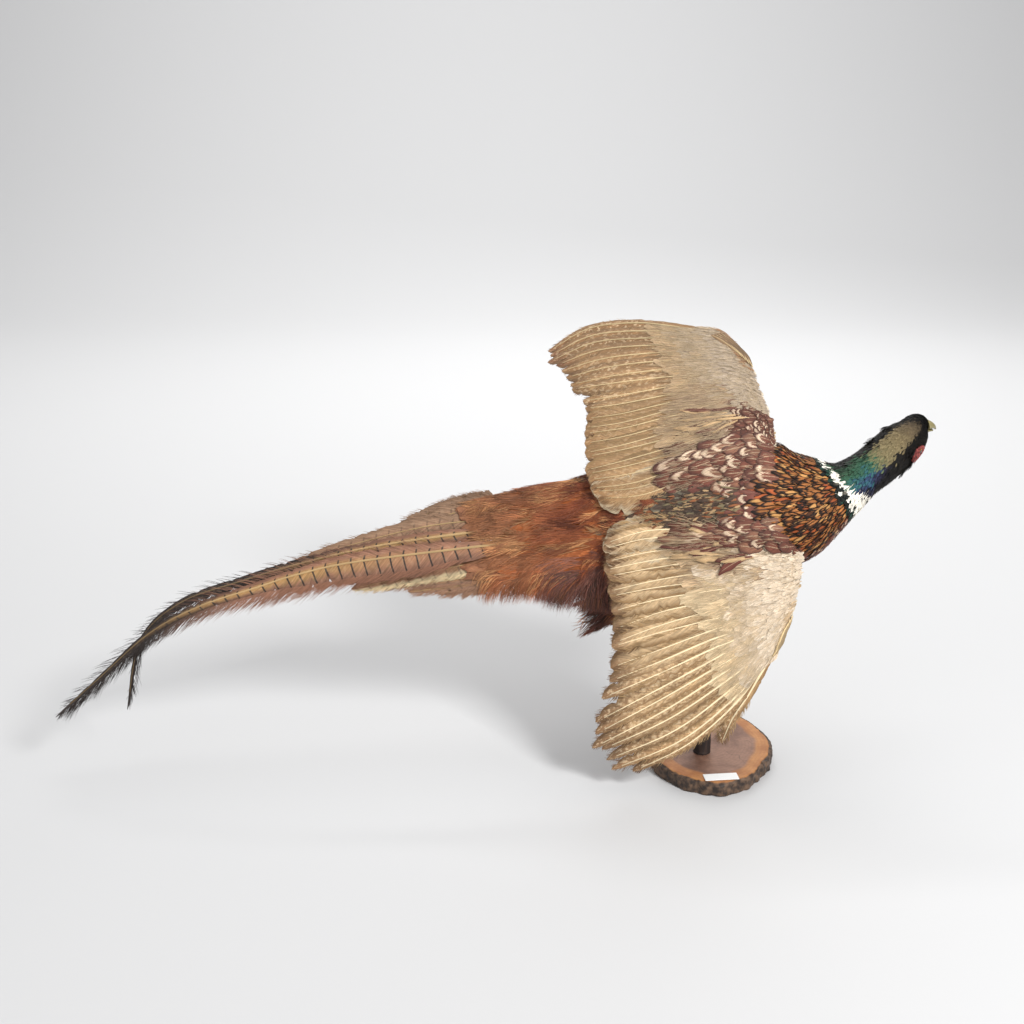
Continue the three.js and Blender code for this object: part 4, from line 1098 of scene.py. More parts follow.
# ---------------------------------------------------------------- rump plumes
# Over the rump the feathers' long orange barbs come apart into hair that hangs over the root of the tail;
# round the vent and thighs they are purplish brown and shaggy.
def plumes(surface, lie, place, turn, reach, spread, tone, lift, fall, width, barbs, unroll):
    """Loose plumes: each has a spine down the surface and barbs that fan out from it and hang at the end."""
    count = len(place)
    reach = reach * chance.uniform(0.7, 1.15, count)
    skew = chance.normal(0, 0.18, count)
    share = np.tile(np.linspace(0.02, 0.8, barbs), (count, 1)) + chance.normal(0, 0.02, (count, barbs))
    edge = chance.choice([-1, 1], (count, barbs))
    fan = edge * spread * chance.uniform(0.3, 1.0, (count, barbs))
    own = reach[:, None] * (1 - share) * chance.uniform(0.55, 1.0, (count, barbs)) + 3
    steps = np.array([0, 0.4, 0.75, 1.0])
    down = (share * reach[:, None])[..., None] + own[..., None] * steps * np.cos(fan)[..., None]
    over = own[..., None] * steps * np.sin(fan)[..., None] + skew[:, None, None] * down
    per_place, per_turn = scales_of(surface, place, turn)
    at = place[:, None, None] + lie * down / per_place[:, None, None]
    round_it = turn[:, None, None] + over / per_turn[:, None, None]
    rise = lift * np.clip(down / 40, 0, 1) + chance.normal(0, 0.7, (count, barbs, 1)) * steps
    spine = surface(at, round_it, rise).reshape(-1, 4, 3)
    hang = np.repeat(fall * np.ones(count), barbs)[:, None, None] * (steps ** 2)[None, :, None]
    spine = spine + hang * np.array([0, -math.sin(BANK), -math.cos(BANK)])
    normal = unit(spine.mean(1) - surface(np.repeat(place, barbs), np.repeat(turn, barbs), np.full(
        count * barbs, -8.0)))
    patch = np.stack([0.01 + 0.97 * (turn % (2 * math.pi)) / (2 * math.pi),
                      0.01 + 0.97 * np.clip((place - unroll[0]) / (unroll[1] - unroll[0]), 0, 1)], -1)
    shade = np.repeat(tone, barbs, 0) * chance.uniform(0.72, 1.2, (count * barbs, 1))
    return strands(spine, normal, width * chance.uniform(0.7, 1.2, count * barbs), shade, np.repeat(
        patch, barbs, 0) + chance.normal(0, 0.001, (count * barbs, 2)))


def hair_look(name):
    """Loose barbs: each in its own colour, a little uneven and barely glossy."""
    g = Graph(name)
    bright = g.calc("MULTIPLY_ADD", g.noise(160, 3), 0.5, 0.75)
    return g.finish(g.shaded(g.read("tone"), bright), g.noise(900, 1), 0.15, 0.0002,
                    Roughness=0.62, Specular_IOR_Level=0.3, Sheen_Weight=0.15)


hair = hair_look("plume_barbs")
count = 690
place = chance.uniform(0.1, AT["loins"] + 0.75, count)
turn = np.where(chance.random(count) < 0.85, chance.uniform(-0.9, math.pi + 0.9, count),
                chance.uniform(0, 2 * math.pi, count))
below = np.clip(-np.sin(turn) * 0.35 - np.cos(turn) * 0.85 + 0.1, 0, 1)  # the lower flank's plumes hang
patchy = np.sin(2.7 * place + 3.3 * turn) + np.sin(6.1 * turn - 4.4 * place) + chance.normal(0, 0.5, count)
toward_tail = smooth(place, 3.0, 0.2)[:, None]
dusky = (chance.normal(-np.cos(turn), 0.08) > 0.66) & (chance.normal(place, 0.15) > 1.9) & (
    place < AT["loins"]) & (chance.random(count) < 0.85)
tone = chosen([dusky, (below > 0.6) & (chance.random(count) < 0.6), patchy > 0.9, patchy < -0.8],
              [np.where(chance.random((count, 1)) < 0.6, paint("6c4439"), paint("875646"))[dusky],
               paint("a5532f"), paint("b98455"), paint("6e351d")], paint("8a4b2b"))
tone = tone * (1 - 0.4 * toward_tail) + paint("b3835b") * 0.4 * toward_tail
tone = tone * np.exp(chance.normal(0, 0.24, (count, 1)))
rump_hair = plumes(body, -1, place, turn, np.interp(place, [0, 2, 5], [34, 34, 24]), 0.34, tone, 2.6,
                   below * np.interp(place, [0, 2.5, 4], [24, 22, 12]), 0.55, 17, (-0.4, 6.6))
make_coat("rump_plumes", [rump_hair], hair, ())

count = 460
edge_on = chance.random(count) < 0.5  # along the lower edge of the flank, over the top of the thigh
place = np.where(edge_on, chance.uniform(AT["tail root"] - 0.2, AT["loins"] + 0.4, count),
                 chance.uniform(AT["vent"] - 0.8, AT["belly"] - 0.2, count))
turn = np.radians(np.where(edge_on, chance.uniform(166, 222, count), chance.uniform(180, 345, count)))
dusk = [paint("8a584b"), paint("a0663f"), paint("52382f")]  # purplish brown, rust and nearly black
luck = chance.random(count)
vent_fall = np.where(edge_on, 20 + 15 * smooth(place, 1.4, 3.0), 8)
vent_hair = plumes(body, -1, place, turn, 30, 0.45, chosen([luck < 0.48, luck < 0.60], dusk[:2], dusk[2]),
                   3.0, vent_fall * np.clip(-np.cos(turn), 0, 1), 0.6, 14, (-0.4, 6.6))
make_coat("vent_plumes", [vent_hair], hair, ())

# ---------------------------------------------------------------- tail
# Twelve stepped tail feathers, the middle pair very long and turned over towards their tips. They are
# olive buff with short dark bars along the shaft and mauve brown hair-like edges, darkening to the tips.
LONG_FEATHERS = (
    (((-196, 9, 6), (-305, 7, 11), (-380, 0, 12), (-437, -9, 12), (-495, -21, 10), (-539, -50, -2),
      (-566, -110, -30)), 12, 35, -0.8),
    (((-196, -6, 9), (-325, -6, 16), (-381, -11, 19), (-419, -18, 19), (-476, -29, 19), (-526, -47, 12),
      (-580, -81, 0), (-627, -110, -12)), 13, 35, 0.8),
)
SIDE_FEATHERS = (
    (((-196, 19), (-260, 20), (-330, 12), (-392, 1)),
     ((-196, -18), (-245, -21), (-292, -25), (-336, -29)), 13),
    (((-196, 30), (-228, 30), (-261, 25), (-295, 18), (-326, 11)),
     ((-196, -30), (-237, -32), (-278, -31), (-320, -30)), 13),
    (((-196, 35), (-236, 36), (-285, 27)), ((-196, -35), (-240, -38), (-285, -38)), 12.5),
    (((-196, 37), (-225, 39), (-258, 35)), ((-196, -37), (-225, -41), (-258, -43)), 12),
    (((-196, 36), (-215, 39), (-238, 40)), ((-196, -36), (-215, -41), (-236, -45)), 11),
)
lines = [(np.array(line, float), width, unroll, lift) for line, width, unroll, lift in LONG_FEATHERS]
for place, (left_line, right_line, width) in enumerate(SIDE_FEATHERS):
    for flat in (left_line, right_line):
        lines.append((np.array([(x, y, 3 - 1.8 * place + 0.03 * (-198 - x)) for x, y in flat]), width, 0, 0))

pieces = []
for number, (line, width, unroll, lift) in enumerate(lines):
    very_long = number < 2
    share = np.linspace(0, 1, 120 if very_long else 48)
    spine = curve(line, share)
    spine = np.vstack([spine[:1] + np.array([[22, 0, -1.5]]), spine])  # the quill runs on under the coverts
    share = np.concatenate([[0], share])
    ahead = unit(np.gradient(spine, axis=0))
    angle = math.radians(unroll) * smooth(share, 0.1, 1)
    up = np.stack([0 * angle, np.sin(angle), np.cos(angle)], -1)
    aside = unit(np.cross(up, ahead))
    out = unit(np.cross(ahead, aside))
    spine = spine + out * lift
    taper = (np.minimum(1, 0.35 + 8 * share) * (1 - 0.55 * share)
             * np.sqrt(np.clip(1 - share ** 6, 0.004, 1)))
    half = width * taper * (0.66 if very_long else 0.86)
    upper_side = number > 1 and number % 2 == 0
    buff, olive = paint("9f7b4d"), paint("876850" if upper_side else "8c694a")
    mauve, soot = paint("8e644e"), paint("241915")
    edge_tone = mauve if number < 2 else paint("8a6c54" if upper_side else "96725a")
    dark_from = 0.31 if number == 0 else 0.54 if number == 1 else 2.0

    def tone(share, x, very_long=very_long, dark_from=dark_from, number=number, olive=olive):
        dark = (smooth(share, dark_from, dark_from + 0.28) + 0 * x)[..., None]
        base = buff if very_long else olive
        if number == 1:
            fade = (0.8 * smooth(share, 0.45, 0.15) + 0 * x)[..., None]
            base = base * (1 - fade) + mauve * fade
        return base * (1 - dark) + soot * dark

    def rim(share, x, edge_tone=edge_tone, dark_from=dark_from, number=number):
        dark = (smooth(share, dark_from - 0.12, dark_from + 0.18) + 0 * x)[..., None]
        cream = ((x < -0.4) * 1.0 + 0 * share)[..., None] * (number == 3)
        colour = edge_tone * (1 - cream) + paint("d6c098") * cream
        return colour * (1 - dark) + soot * dark

    strip = (0.01 + number * 0.082, 0.078)
    own = chance.random()
    outer = half * (0.8 if very_long else 1.5 if number == 3 else 1.2 if number in (5, 7) else 1.0)
    inner = half * (1.2 if number < 5 or upper_side else 0.62)
    if number == 1:  # the lower vane of the lower long feather is broad near its root
        inner = inner * (1 + 1.1 * smooth(share, 0.5, 0.2))
        outer = outer * (1 + 0.5 * smooth(share, 0.3, 0.1))
    pieces += long_feather(spine, -aside, out, outer, inner, tone, rim,
                           [1.0 if very_long else 0.45, 0.1, own], strip,
                           shaft=1.25 if very_long else 0.8, split=0.12, columns=9,
                           shaft_tone=paint("c9a775"))
    pieces.append(fringe(
        spine, -aside, out, outer, inner, 0.04, 0.985,
        1500 if number == 1 else 800 if number == 0 else 300,
        20 if number == 1 else 14 if number == 0 else 7,
        lambda at, edge, rim=rim: rim(at, edge * 1.0), strip, width=0.36, lean=(0.45, 0.95),
        outside=0.12 if very_long else 0.25))
make_coat("tail", pieces, barred_look("tail_feathers", 0.42),
          tuple(f"tail_feather_{number}" for number in range(1, 13)))

# ---------------------------------------------------------------- thigh feathers
# The drumsticks are wrapped in short shaggy dark feathers that run down to the heel joint.
THIGHS = {
    "left": (((-24, 28, -44), (-54, 33, -50), (-82, 35, -50), (-106, 35, -48)), (22, 24, 17, 6.5)),
    "right": (((-32, -39, -36), (-54, -53, -39), (-84, -66, -42), (-108, -72, -41)), (22, 25, 20.5, 11)),
}


def limb(points, radii):
    """The surface of a tapering limb, measured down it and round it."""
    def surface(along, across, lift):
        along, across = np.broadcast_arrays(np.asarray(along, float), np.asarray(across, float))
        centre = curve(points, along)
        run = unit(curve(points, along + 0.01) - curve(points, along - 0.01))
        side = unit(np.cross(run, np.array([0.05, 0.1, 1.0])))
        up = np.cross(side, run)
        radius = np.interp(along, np.linspace(0, 1, len(radii)), radii)
        round_top = np.sqrt(np.clip(1 - (np.minimum(along, 0) / 0.27) ** 2, 0.02, 1))
        radius = radius * round_top + lift
        return (centre + side * (radius * np.cos(across))[..., None]
                + up * (radius * np.sin(across))[..., None])
    return surface


THIGH_ROWS = tuple(
    (-0.23 + 0.085 * number, 14 - 0.35 * number, 7.6 - 0.25 * number) for number in range(15))
pieces, shaggy = [], []
for side, (line, radii) in THIGHS.items():
    surface = limb(line, radii)
    along, across, size, patch, cell, row = covert_rows(surface, THIGH_ROWS, 0, 2 * math.pi, 0.5)
    count = len(along)
    patch = patch * [0.48, 1] + [0.5 * (side == "right"), 0]
    spots = {
        "along": along, "across": across, "lie": 1, "size": size, "turned": chance.normal(0, 0.15, count),
        "root": np.full(count, -1.6), "tip": 0.8 + chance.normal(0, 0.7, count),
        "tone": chosen([chance.random(count) < 0.4, chance.random(count) < 0.1], [
            paint("6d4747"), paint("8a4a28")], paint("4c3435")) * chance.normal(1, 0.1, (count, 1)),
        "rim": np.tile(paint("35272a"), (count, 1)),
        "mark": np.stack([np.full(count, 0.3), np.zeros(count), chance.random(count)], -1),
        "patch": patch, "cell": cell * [0.48, 1]}
    roots.append((to_room(surface(along, across, np.full(count, -2.0))), spots["tone"]))
    pieces.append(lay_feathers(surface, spots, vane_shape(6, 5), ragged=0.15))
    count, hangs = (110, 0) if side == "left" else (250, 3)
    luck = chance.random(count)
    shaggy.append(plumes(surface, 1, chance.uniform(0.28, 1.0, count), chance.uniform(0, 2 * math.pi, count),
                         24 if side == "left" else 32, 0.5,
                         chosen([luck < 0.45, luck < 0.58], dusk[:2], dusk[2]), 5.5, hangs, 0.55, 14,
                         (-1.0 if side == "left" else 0.0, 1.0 if side == "left" else 2.0)))
make_coat("plumage_thighs", pieces, plumage, ())
make_coat("thigh_plumes", shaggy, hair, ())

# ---------------------------------------------------------------- skin
# One tanned skin runs under all the feathers, from the bill to the root of the tail, round the thighs and
# out along both wings. It takes the colour of the feathers rooted in it.
def copy_of(name, *nodes):
    """A joined and merged copy of CAD nodes, to be worked on."""
    bpy.ops.object.select_all(action="DESELECT")
    for node in nodes:
        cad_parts[node].select_set(True)
    bpy.context.view_layer.objects.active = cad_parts[nodes[0]]
    bpy.ops.object.duplicate()
    if len(nodes) > 1:
        bpy.ops.object.join()
    piece = bpy.context.object
    piece.name = piece.data.name = name
    for key in list(piece.keys()):
        del piece[key]
    piece.parent = None
    piece.data.materials.clear()
    bpy.ops.object.mode_set(mode="EDIT")
    bpy.ops.mesh.select_all(action="SELECT")
    bpy.ops.mesh.remove_doubles(threshold=1e-6)
    bpy.ops.mesh.normals_make_consistent(inside=False)
    bpy.ops.object.mode_set(mode="OBJECT")
    return piece


def apply(piece, kind, **settings):
    """Adds a modifier to the active piece and applies it."""
    modifier = piece.modifiers.new(kind.lower(), kind)
    for key, value in settings.items():
        setattr(modifier, key, value)
    bpy.ops.object.modifier_apply(modifier=modifier.name)


def fatten(by):
    bpy.ops.object.mode_set(mode="EDIT")
    bpy.ops.mesh.select_all(action="SELECT")
    bpy.ops.transform.shrink_fatten(value=by)
    bpy.ops.object.mode_set(mode="OBJECT")


arms = copy_of("arms", "wing_left_coverts", "wing_right_coverts")
apply(arms, "REMESH", mode="VOXEL", voxel_size=0.0016)
apply(arms, "SMOOTH", factor=0.5, iterations=3)
fatten(-0.0011)
trunk = copy_of("trunk_skin", "trunk", "rump", "tail_coverts", "thigh_left", "thigh_right")
fatten(0.0008)
apply(trunk, "REMESH", mode="VOXEL", voxel_size=0.0024)
apply(trunk, "SMOOTH", factor=0.5, iterations=6)
fatten(-0.0030)
throat = copy_of("throat_skin", "neck", "neck_ring", "head")
fatten(0.0005)
apply(throat, "REMESH", mode="VOXEL", voxel_size=0.0014)
apply(throat, "SMOOTH", factor=0.5, iterations=4)
fatten(-0.0013)
for piece in (arms, trunk, throat):
    piece.select_set(True)
bpy.context.view_layer.objects.active = trunk
bpy.ops.object.join()
skin = bpy.context.object
skin.name = skin.data.name = "skin"
apply(skin, "REMESH", mode="VOXEL", voxel_size=0.0018)
apply(skin, "SMOOTH", factor=0.5, iterations=3)
bpy.ops.object.shade_smooth()
bpy.ops.object.mode_set(mode="EDIT")
bpy.ops.mesh.select_all(action="SELECT")
bpy.ops.uv.smart_project(angle_limit=1.15, island_margin=0.004)
bpy.ops.object.mode_set(mode="OBJECT")
skin.data.uv_layers[0].name = "OFBake"

places = np.concatenate([place for place, _ in roots])
tones = np.concatenate([tone for _, tone in roots])
tree = KDTree(len(places))
for number, place in enumerate(places):
    tree.insert(place, number)
tree.balance()
colours = np.array([tones[[found[1] for found in tree.find_n(vertex.co, 3)]].mean(0)
                    for vertex in skin.data.vertices])
skin.data.attributes.new("tone", "FLOAT_VECTOR", "POINT").data.foreach_set(
    "vector", colours.astype(np.float32).ravel())
g = Graph("down_on_skin")
skin.data.materials.append(g.finish(
    g.shaded(g.read("tone"), g.calc("MULTIPLY_ADD", g.noise(240, 4), 0.5, 0.5)),
    g.noise(700, 3), 0.5, 0.0008, Roughness=0.85, Specular_IOR_Level=0.15))
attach(skin, "root")
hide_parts("trunk", "rump", "tail_coverts", "thigh_left", "thigh_right", "neck", "neck_ring", "head",
            "wing_left_coverts", "wing_right_coverts")

# ---------------------------------------------------------------- head
# Red wattled skin round each eye, covered in small round papillae, swells out of the black face.
for side in ("left", "right"):
    wattle = copy_of(f"face_wattle_{side}", f"wattle_{side}")
    apply(wattle, "REMESH", mode="VOXEL", voxel_size=0.0005)
    apply(wattle, "SMOOTH", factor=0.5, iterations=3)
    lumps = bpy.data.textures.new(f"papillae_{side}", "VORONOI")
    lumps.noise_scale = 0.0016
    apply(wattle, "DISPLACE", texture=lumps, texture_coords="GLOBAL", strength=-0.0010, mid_level=0.45)
    bpy.ops.object.shade_smooth()
    g = Graph(f"wattle_skin_{side}")
    cell = g.cells(620)
    red = g.mix(g.band(cell, 0.1, 0.75), (0.36, 0.075, 0.062, 1), (0.10, 0.012, 0.012, 1))
    wattle.data.materials.append(g.finish(
        g.shaded(red, g.calc("MULTIPLY_ADD", g.noise(300), 0.5, 0.75)),
        g.calc("MULTIPLY", cell, -1), 0.5, 0.0004, Roughness=0.55, Specular_IOR_Level=0.35))
    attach(wattle, "root")
    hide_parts(f"wattle_{side}")

# The glass eyes have an amber brown iris round a black pupil under a clear domed front, held by a dark lid.
for side, eye_turn in EYE_TURNS.items():
    low, high = (np.array(corner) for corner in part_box(f"eye_{side}"))
    middle, radius = (low + high) / 2, (high - low).max() / 2
    outward = unit(to_room(body(np.array(EYE_PLACE), np.array(eye_turn), 0.0)) - to_room(
        body(np.array(EYE_PLACE), np.array(eye_turn), -12.0)))
    bpy.ops.object.select_all(action="DESELECT")
    bpy.ops.mesh.primitive_uv_sphere_add(segments=48, ring_count=32, radius=radius * 0.97, location=middle)
    eye = bpy.context.object
    eye.name = eye.data.name = f"glass_eye_{side}"
    bpy.ops.object.transform_apply(location=True)
    facing = np.array([unit(np.array(vertex.co) - middle) @ outward for vertex in eye.data.vertices])
    for vertex, front in zip(eye.data.vertices, facing):  # the clear front bulges a little
        vertex.co = middle + (np.array(vertex.co) - middle) * (1 + 0.05 * smooth(front, 0.6, 1.0))
    eye.data.attributes.new("facing", "FLOAT_VECTOR", "POINT").data.foreach_set(
        "vector", np.repeat(facing, 3).astype(np.float32))
    bpy.ops.object.shade_smooth()
    g = Graph(f"eye_glass_{side}")
    front = g.parts(g.read("facing"))[0]
    iris = g.mix(g.band(g.noise(900, 4), 0.3, 0.7), (0.36, 0.12, 0.02, 1), (0.62, 0.30, 0.07, 1))
    iris = g.mix(g.band(front, 0.66, 0.74), (0.01, 0.007, 0.005, 1), iris)
    eye.data.materials.append(g.finish(g.mix(g.band(front, 0.905, 0.925), iris, (0.002, 0.002, 0.002, 1)),
                                       Roughness=0.06, Coat_Weight=1.0, Coat_Roughness=0.02))
    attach(eye, "root")
    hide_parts(f"eye_{side}")

    bpy.ops.object.select_all(action="DESELECT")
    tilt = math.acos(outward[2])
    bpy.ops.mesh.primitive_torus_add(
        major_segments=40, minor_segments=10, major_radius=radius * 0.80, minor_radius=radius * 0.17,
        location=middle + outward * radius * 0.58, rotation=(0, tilt, math.atan2(outward[1], outward[0])))
    lid = bpy.context.object
    lid.name = lid.data.name = f"eyelid_{side}"
    bpy.ops.object.transform_apply(location=True, rotation=True)
    folds = bpy.data.textures.new(f"lid_folds_{side}", "CLOUDS")
    folds.noise_scale = 0.0012
    apply(lid, "SUBSURF", levels=1, render_levels=1)
    apply(lid, "DISPLACE", texture=folds, texture_coords="GLOBAL", strength=0.0004)
    bpy.ops.object.shade_smooth()
    g = Graph(f"eyelid_skin_{side}")
    lid.data.materials.append(g.finish(g.mix(g.noise(500), (0.16, 0.03, 0.03, 1), (0.045, 0.02, 0.02, 1)),
                                       g.noise(900), 0.3, 0.0003, Roughness=0.5))
    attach(lid, "root")

# The bill is horn, olive yellow, its upper half hooked over the lower one, which is painted darker as shade
# under it.
# the lower half is the upper's horn scaled darker: painted shade under the hooked upper half
for node, darker in (("beak_upper", 1.0), ("beak_lower", 0.85)):
    horn = copy_of(f"horn_{node}", node)
    apply(horn, "REMESH", mode="VOXEL", voxel_size=0.0006)
    apply(horn, "SMOOTH", factor=0.5, iterations=5)
    bpy.ops.object.shade_smooth()
    g = Graph(f"{node}_horn")
    tint = g.mix(g.noise(150, 4, stretch=(1, 3, 3)), (0.17, 0.14, 0.055, 1), (0.31, 0.26, 0.11, 1))
    horn.data.materials.append(g.finish(
        g.shaded(tint, g.calc("MULTIPLY_ADD", g.noise(80), 0.4, 0.75 * darker)),
        g.noise(400, 3, stretch=(1, 4, 4)), 0.2, 0.0003, Roughness=0.36))
    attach(horn, "root")
    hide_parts(node)

# Short black feathers stand out in tufts behind the ears, by the eyes and on the nape.
def black_feathers(place, turn, long, wide, turned, base, sunk, stand, rows, level):
    """Short black feathers that stand out of the face, on a level of their own on the map."""
    count = len(place)
    ink = np.tile(paint("100d0c"), (count, 1))
    return lay_feathers(body, {
        "along": place, "across": turn, "lie": -1,
        "size": np.stack([chance.uniform(*long, count), chance.uniform(*wide, count)], -1),
        "turned": chance.normal(0, turned, count), "root": base - sunk,
        "tip": base + chance.uniform(*stand, count), "tone": ink, "rim": ink,
        "mark": np.stack([np.full(count, 0.1), np.zeros(count), chance.random(count)], -1),
        "patch": np.stack([(np.arange(count) + 0.5) / count, np.full(count, 0.1 + 0.11 * level)], -1),
        "cell": np.tile([0.8 / count, 0.08], (count, 1))}, vane_shape(rows, 3, 1.6))


pieces = []
for middle, centre in ((AT["ears"] - 0.5, 29), (AT["eyes"] - 0.55, 34), (AT["ears"] + 0.2, 200),
                       (AT["nape"] + 0.65, 196), (AT["eyes"] - 0.75, 150)):
    count = 24
    place = middle + chance.normal(0, 0.12, count)
    turn = math.radians(centre) + chance.normal(0, 0.12, count)
    pieces.append(black_feathers(place, turn, (6, 9.5), (1.2, 2.2), 0.25, np.zeros(count), 0.4, (1.0, 3.4),
                                 6, len(pieces)))
for side, eye_turn in EYE_TURNS.items():  # short bristles ring the red skin and cross its edge
    count = 130
    swing = chance.uniform(0, 2 * math.pi, count)
    out = np.where(np.cos(swing) < 0.1, chance.uniform(0.85, 1.5, count), chance.uniform(1.45, 1.8, count))
    place = EYE_PLACE - 0.11 + 0.33 * out * np.cos(swing)
    turn = eye_turn + (-0.1 if side == "left" else 0.1) + 0.27 * out * np.sin(swing)
    base = 3.2 * np.clip(1.15 - out ** 2, 0, 1)
    pieces.append(black_feathers(place, turn, (2.4, 4.6), (0.6, 1.1), 0.35, base, 0.2, (0.6, 1.8),
                                 5, len(pieces)))
make_coat("face_tufts", pieces, face_plumage, ())

# ---------------------------------------------------------------- legs
# Bare grey brown shanks with scutes down the front, four toes with claws, and a spur behind.
for side in ("left", "right"):
    foot = copy_of(f"scaly_foot_{side}", f"foot_{side}")
    apply(foot, "REMESH", mode="VOXEL", voxel_size=0.0007)
    apply(foot, "SMOOTH", factor=0.5, iterations=3)
    bpy.ops.object.shade_smooth()
    g = Graph(f"leg_skin_{side}")
    place = g.where()
    scutes = g.cells(330, g.put(g.nodes.new("ShaderNodeMapping"), ("Vector", place), ("Scale", (1.6, 1, 1)))
                     .outputs[0])
    tint = g.mix(g.band(scutes, 0.25, 0.7), (0.24, 0.20, 0.155, 1), (0.09, 0.07, 0.055, 1))
    foot.data.materials.append(g.finish(tint, g.calc("MULTIPLY", scutes, -1), 0.8, 0.0006, Roughness=0.5))
    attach(foot, "root")
    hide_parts(f"foot_{side}")

# ---------------------------------------------------------------- base
# A slice sawn across a small log: grey brown heartwood with rings and checks, an orange sapwood rim, and
# rough dark bark. The bird stands on a short dark branch set into it.
log = copy_of("log_slice", "base_slice")
bpy.ops.object.mode_set(mode="EDIT")
bpy.ops.mesh.select_all(action="SELECT")
bpy.ops.mesh.dissolve_limited(angle_limit=0.02)
bpy.ops.object.mode_set(mode="OBJECT")
apply(log, "BEVEL", width=0.0009, segments=2, limit_method="ANGLE", angle_limit=math.radians(60))
apply(log, "REMESH", mode="VOXEL", voxel_size=0.0011)
MIDDLE, HALF_WIDTH, HALF_DEPTH, THICKNESS = np.array([0.008, 0.004]), 0.061, 0.080, 0.0140


def on_slice(co):
    """A point's offset from the slice's middle, its turn round it, and how far out the rim is there."""
    off = np.array([co.x, co.y]) - MIDDLE
    turn = math.atan2(off[1], off[0])
    wave = (1 + 0.022 * math.sin(3 * turn + 0.8) + 0.016 * math.sin(5 * turn + 2.1)
            + 0.008 * math.sin(11 * turn))
    return off, turn, wave * HALF_WIDTH * HALF_DEPTH / math.hypot(
        HALF_DEPTH * math.cos(turn), HALF_WIDTH * math.sin(turn))


for vertex in log.data.vertices:
    co = vertex.co
    off, turn, full = on_slice(co)
    inside = full - math.hypot(*off)
    bark = float(smooth(-inside, -0.0050, -0.0018))
    ridge = noise.noise(Vector((math.cos(turn) * 9, math.sin(turn) * 9, co.z * 55)))
    crumb = noise.noise(co * 420) * 0.5 + noise.noise(co * 900) * 0.3
    away = (ridge * 0.0022 + crumb * 0.0012 - 0.0009) * bark
    co.x += off[0] / max(full, 1e-6) * away
    co.y += off[1] / max(full, 1e-6) * away
    if bark > 0 and 0.003 < co.z:
        co.z = min(co.z, THICKNESS) - max(0.0, 0.0016 * bark * (0.5 + ridge + crumb))
    co.z = max(co.z, 0.0)
shares = []
for vertex in log.data.vertices:
    off, turn, full = on_slice(vertex.co)
    shares.append((math.hypot(*off) / full, full - math.hypot(*off), turn))
log.data.attributes.new("ring", "FLOAT_VECTOR", "POINT").data.foreach_set(
    "vector", np.array(shares, np.float32).ravel())
bpy.ops.object.shade_smooth_by_angle(angle=math.radians(40))
g = Graph("log_wood_and_bark")
share, inside, turn_round = g.parts(g.read("ring"))
height = g.parts(g.where())[2]
wobble = g.calc("MULTIPLY_ADD", g.noise(28, 4), 0.09, -0.045)
rings = g.calc("SINE", g.calc("MULTIPLY", g.calc("ADD", share, wobble), 120))
heart = g.mix(g.band(g.noise(38, 6), 0.32, 0.68), (0.13, 0.060, 0.037, 1), (0.27, 0.145, 0.095, 1))
heart = g.mix(g.calc("MULTIPLY", g.band(rings, 0.1, 1.0), g.calc("MULTIPLY", g.noise(25), 0.22)), heart,
              (0.10, 0.052, 0.034, 1))
check = g.calc("ABSOLUTE", g.calc("SINE", g.calc("MULTIPLY_ADD", turn_round, 3.5, g.calc(
    "MULTIPLY", g.noise(30, 3), 5))))  # drying cracks run out from the middle
check = g.calc("MULTIPLY", g.calc("SUBTRACT", 1, g.band(check, 0.0, 0.05)), g.band(g.noise(20), 0.5, 0.6))
heart = g.mix(g.calc("MULTIPLY", check, 0.6), heart, (0.05, 0.026, 0.018, 1))
sap = g.mix(g.band(g.noise(60, 4), 0.3, 0.7), (0.32, 0.12, 0.034, 1), (0.46, 0.21, 0.07, 1))
sap = g.mix(g.calc("MULTIPLY", g.band(rings, 0.2, 1.0), 0.2), sap, (0.28, 0.10, 0.03, 1))
depth_in = g.calc("ADD", inside, g.calc("MULTIPLY_ADD", g.noise(60, 3), 0.006, -0.003))
wood = g.mix(g.band(depth_in, 0.0140, 0.0195), sap, heart)
bark_tone = g.mix(g.band(g.noise(190, 5), 0.35, 0.7), (0.028, 0.017, 0.012, 1), (0.15, 0.088, 0.052, 1))
bark_depth = g.calc("ADD", inside, g.calc("MULTIPLY_ADD", g.noise(120, 3), 0.003, -0.0015))
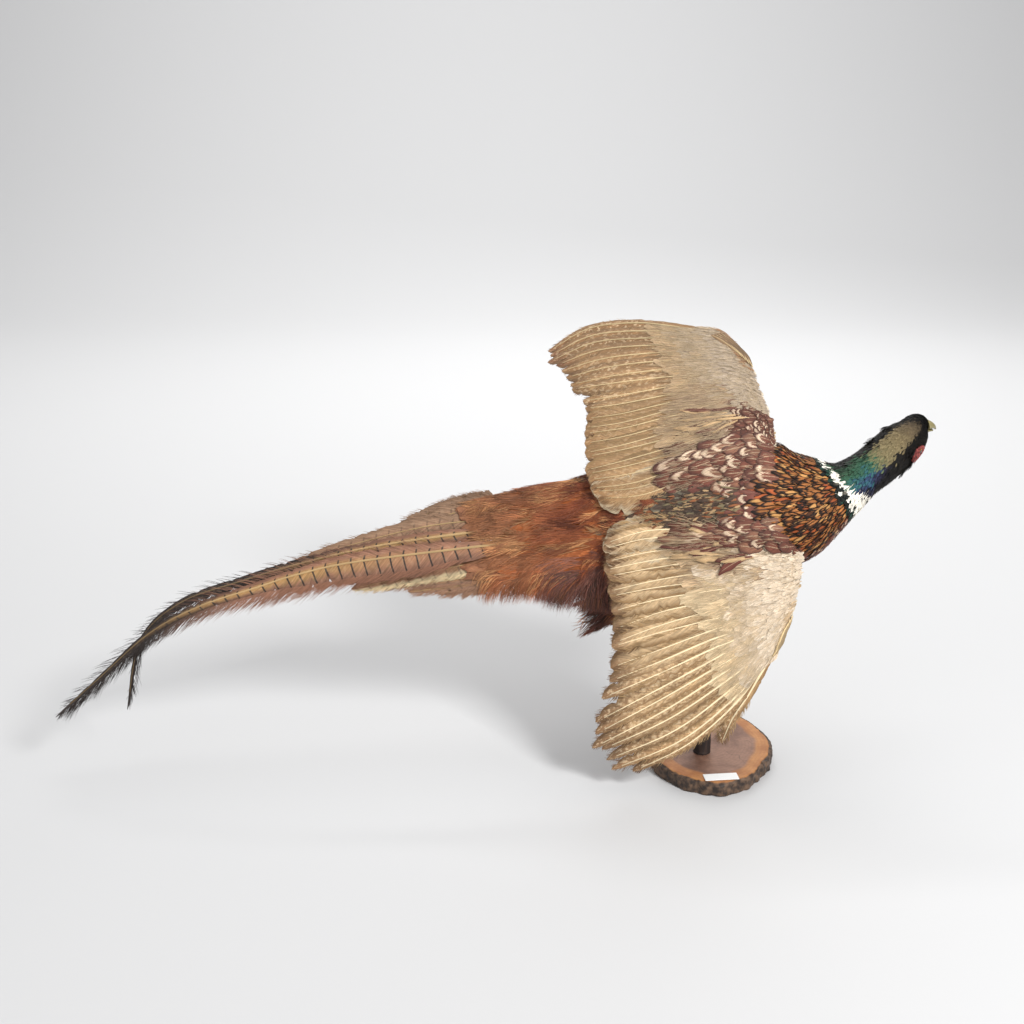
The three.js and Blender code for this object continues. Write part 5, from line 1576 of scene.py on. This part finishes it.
bark_in = g.calc("SUBTRACT", 1, g.band(bark_depth, 0.0030, 0.0044))
below = g.calc("SUBTRACT", 1, g.band(height, 0.0105, 0.0128))
outer = g.calc("MULTIPLY", below, g.calc("SUBTRACT", 1, g.band(inside, 0.005, 0.008)))
colour = g.mix(g.calc("MAXIMUM", bark_in, outer), wood, bark_tone)
log.data.materials.append(g.finish(
    g.shaded(colour, g.calc("MULTIPLY_ADD", g.noise(300, 3), 0.3, 0.85)),
    g.calc("ADD", g.noise(420, 4), g.calc("MULTIPLY", rings, 0.04)), 0.5, 0.0008, Roughness=0.6))
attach(log, "root")
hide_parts("base_slice")

STUB_BACK, BARK_FROM, BARK_TO = 0.0155, 0.016, 0.185  # the bark stays clear of the slice and the bird
post = copy_of("branch_post", "base_stub")
apply(post, "REMESH", mode="VOXEL", voxel_size=0.0012)
for vertex in post.data.vertices:
    off = Vector((vertex.co.x, vertex.co.y + STUB_BACK, 0))
    away = noise.noise(Vector((vertex.co.x * 150, vertex.co.y * 150, vertex.co.z * 28))) * 0.0011
    away += noise.noise(vertex.co * 600) * 0.0004 - 0.0008
    if BARK_FROM < vertex.co.z < BARK_TO:
        vertex.co += off.normalized() * away
bpy.ops.object.shade_smooth()
g = Graph("branch_bark")
grain = g.noise(90, 5, stretch=(2.5, 2.5, 0.5))
post.data.materials.append(g.finish(
    g.mix(g.band(grain, 0.35, 0.7), (0.012, 0.007, 0.006, 1), (0.055, 0.031, 0.022, 1)), grain, 0.5, 0.001,
    Roughness=0.7))
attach(post, "root")
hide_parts("base_stub")

# A blank white card tag lies flat on the slice near its front edge.
card = copy_of("card_tag", "base_tag")
apply(card, "REMESH", mode="VOXEL", voxel_size=0.0003)
bpy.ops.object.shade_smooth_by_angle(angle=math.radians(35))
g = Graph("white_card")
card.data.materials.append(g.finish(
    g.mix(g.noise(700, 4), (0.78, 0.78, 0.76, 1), (0.86, 0.86, 0.84, 1)), g.noise(1500, 2), 0.1, 0.0001,
    Roughness=0.8))
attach(card, "root")
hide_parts("base_tag")
